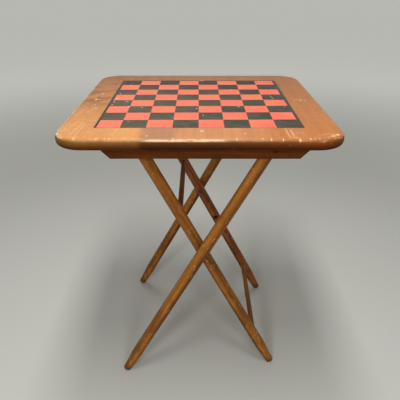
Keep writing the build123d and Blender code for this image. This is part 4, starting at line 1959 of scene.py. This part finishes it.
@dataclass
class InnerFrame:
    """The inner pair of legs with the rungs between them."""

    layout: Layout
    first_seed: int = 21
    first_rung_seed: int = 31
    rung_ease: float = 0.0008
    rung_rings: int = 40
    rung_wear: float = 0.0002

    def leg(self, side: Side) -> None:
        """Makes one inner leg with its sockets, one of them empty, and its pivot bore.

        Args:
            side: The half of the table that it is on.
        """
        layout, inside = self.layout, -side.value
        last = layout.inner_to_cross + layout.top_rung_rise
        leg = DowelLeg(
            layout,
            foot_x=layout.inner_reach,
            y=side.value * layout.inner_leg_y,
            lean=-layout.inner_tilt,
            last_pivot=last,
            seed=self.first_seed + side.index,
        )
        near, deep = inside * (layout.leg_radius + 0.004), inside * (layout.leg_radius - layout.socket_depth)
        hole = layout.rung_diameter + 2 * layout.glue_gap
        cutters = [
            leg.socket(layout.inner_to_cross + rise, hole, near, deep)
            for rise in (layout.upper_rung_rise, -layout.lost_rung_drop, -layout.lower_rung_drop)
        ]
        cutters.append(leg.socket(last, layout.top_rung_diameter + 2 * layout.glue_gap, near, deep))
        spot = inside * (layout.leg_radius - layout.spot_depth)
        cutters.append(leg.socket(layout.inner_to_cross, layout.spot_face, near, spot))
        cutters.append(leg.socket(layout.inner_to_cross, layout.screw_bore, near, -near))
        finish = LEG_FINISH if side is Side.FRONT else REAR_LEG_FINISH
        material = finish.material(leg.grain, f"inner_{side.word}")
        piece(
            leg.shape(cutters), f"{side.word}_inner_dowel", material,
            Body.INNER_FRAME, Slot.LEG_WOOD, f"{side.word}_inner_leg",
        )

    def rung(self, word: str, diameter: float, rise: float, finish: WoodFinish, seed: int) -> None:
        """Makes one rung between the inner legs.

        Args:
            word: Which rung it is, as the CAD nodes spell it.
            diameter: Its diameter.
            rise: Length along the inner legs, upwards from the crossing.
            finish: Its finish.
            seed: Which pattern of knocks it has.
        """
        layout = self.layout
        half = layout.inner_leg_y - layout.leg_radius + layout.socket_depth - layout.rung_clearance
        x, z = layout.on_inner_leg(rise)
        radius, ease, rings = diameter / 2, self.rung_ease, self.rung_rings
        points = [(0.0, -half), (radius - ease, -half)]
        points += [(radius, -half + ease + (2 * half - 2 * ease) * ring / rings) for ring in range(rings + 1)]
        points += [(radius - ease, half), (0.0, half)]
        place = Matrix.Translation((x, 0.0, z)) @ Matrix.Rotation(-math.pi / 2, 4, "X")
        mesh = moved(lathe(points, 40), place)
        hand_worn(mesh, place, self.rung_wear, seed)
        material = finish.material(Grain((x, 0.0, z), (0.0, 0.0, math.pi / 2)), word)
        piece(mesh, f"rung_{word}", material, Body.INNER_FRAME, Slot.RUNG_WOOD, f"{word}_rung")

    def build(self) -> None:
        """Makes every piece that moves with the inner frame."""
        layout = self.layout
        plate = WASHER_FINISH.material()
        for side in Side:
            self.leg(side)
            seat = layout.inner_leg_y - layout.leg_radius + layout.spot_depth
            y = side.value * (seat - layout.washer_gap / 2)
            ring = Washer(layout.washer_bore, layout.head_washer_rim, layout.washer_thickness).shape()
            place = Matrix.Translation((layout.cross_shift, y, layout.cross_height))
            piece(
                moved(ring, place), f"{side.word}_spot_washer", plate,
                Body.INNER_FRAME, Slot.WASHER_STEEL, f"{side.word}_head_washer",
            )
        # The top and upper rungs take the finish with painted shade; the lower rung takes the leg wood itself.
        rungs = (
            ("top", layout.top_rung_diameter, layout.top_rung_rise, RUNG_FINISH),
            ("upper", layout.rung_diameter, layout.upper_rung_rise, RUNG_FINISH),
            ("lower", layout.rung_diameter, -layout.lower_rung_drop, LEG_FINISH),
        )
        for seed, rung in enumerate(rungs, self.first_rung_seed):
            self.rung(*rung, seed)


@dataclass(frozen=True)
class Lamp:
    """A soft lamp: where it hangs, what it faces, its width and length, and its power in watts."""

    name: str
    place: Place
    aim: Place
    size: Spot
    power: float

    def hang(self) -> None:
        """Makes the lamp."""
        data = bpy.data.lights.new(self.name, "AREA")
        data.shape, data.size, data.size_y = "RECTANGLE", *self.size
        data.energy = self.power
        made = bpy.data.objects.new(self.name, data)
        turn = (Vector(self.aim) - Vector(self.place)).to_track_quat("-Z", "Y")
        made.matrix_world = Matrix.Translation(self.place) @ turn.to_matrix().to_4x4()
        bpy.context.scene.collection.objects.link(made)


@dataclass
class Studio:
    """The pale floor, the soft light and the camera."""

    lens: float = 40.67
    sensor: float = 36.0
    clip: Spot = (0.01, 100.0)
    place: Place = (-0.0027, -1.0019, 0.9051)
    heading: float = -0.237
    pitch: float = 62.748
    roll: float = 0.100
    floor_size: float = 60.0
    floor_tones: tuple[Colour, Colour] = (tone(212, 213, 206), tone(217, 218, 212))
    ambient: Colour = (0.148, 0.144, 0.132, 1.0)
    backdrop: Colour = (0.495, 0.50, 0.465, 1.0)
    glow: Colour = (0.35, 0.355, 0.33, 1.0)
    glow_from: float = 1.0
    glow_to: float = 3.6
    lamps: tuple[Lamp, ...] = (
        Lamp("ceiling_lamp", (-0.035, -0.30, 2.2), (-0.035, -0.30, 0.0), (0.35, 1.3), 20.5),
        Lamp("left_lamp", (-0.55, -1.7, 1.25), (0.0, -0.1, 0.35), (0.35, 0.35), 8.9),
        Lamp("right_lamp", (0.45, -1.7, 1.25), (0.0, -0.1, 0.35), (0.35, 0.35), 5.3),
        Lamp("rear_lamp", (0.0, 1.5, 2.7), (0.0, 0.0, 0.4), (1.0, 1.0), 9.0),
    )

    def camera(self) -> None:
        """Stands the camera at the photograph's viewing angle."""
        data = bpy.data.cameras.new("view")
        data.lens, data.sensor_width = self.lens, self.sensor
        data.clip_start, data.clip_end = self.clip
        made = bpy.data.objects.new("view", data)
        turn = Matrix()
        for angle, axis in ((self.heading, "Z"), (self.pitch, "X"), (self.roll, "Z")):
            turn = turn @ Matrix.Rotation(math.radians(angle), 4, axis)
        made.matrix_world = Matrix.Translation(self.place) @ turn
        bpy.context.scene.collection.objects.link(made)
        bpy.context.scene.camera = made

    def seen(self, sheet: NodeSheet) -> Socket:
        """Marks the rays that show a surface, but don't light one."""
        ray = sheet.add("LightPath").outputs
        return sheet.strongest([ray["Is Camera Ray"], ray["Is Glossy Ray"], ray["Is Transmission Ray"]])

    def room(self) -> bpy.types.World:
        """Lights the table from all round, with a paler backdrop to look at.

        Returns:
            The world.
        """
        world = bpy.data.worlds.new("room")
        world.use_nodes = True
        sheet = NodeSheet(world.node_tree)
        colour = sheet.blend(self.seen(sheet), self.ambient, self.backdrop)
        sheet.fill(world.node_tree.nodes["Background"], {"Color": colour})
        return world

    def floor(self) -> None:
        """Lays the floor, which isn't part of the table."""
        mesh = bmesh.new()
        bmesh.ops.create_grid(mesh, x_segments=1, y_segments=1, size=self.floor_size / 2)
        data = bpy.data.meshes.new("floor")
        mesh.to_mesh(data)
        mesh.free()
        made = bpy.data.objects.new("floor", data)
        bpy.context.scene.collection.objects.link(made)
        material, sheet, shader = new_material("pale_floor")
        world = sheet.add("TexCoord").outputs["Object"]
        away = sheet.add("VectorMath", {0: world}, operation="LENGTH").outputs["Value"]
        far = sheet.step(away, self.glow_from, self.glow_to)
        sheet.fill(shader, {
            "Base Color": sheet.blend(sheet.cloud(world, 1.5), *self.floor_tones),
            "Emission Color": sheet.blend(sheet.times(self.seen(sheet), far), (0.0, 0.0, 0.0, 1.0), self.glow),
            "Emission Strength": 1.0,
            "Roughness": 0.85,
            "Specular IOR Level": 0.2,
        })
        data.materials.append(material)

    def build(self) -> None:
        """Sets up everything round the table."""
        scene = bpy.context.scene
        scene.view_settings.view_transform = "Standard"
        scene.world = self.room()
        self.floor()
        for lamp in self.lamps:
            lamp.hang()
        self.camera()


def main() -> None:
    """Builds the table round its frame and the studio round the table."""
    logging.basicConfig(level=logging.INFO, format="%(name)s: %(message)s")
    layout = Layout()
    SharedEffects()
    TopAssembly(layout).build()
    OuterLegs(layout).build()
    InnerFrame(layout).build()
    Studio().build()


if __name__ == "__main__":
    main()
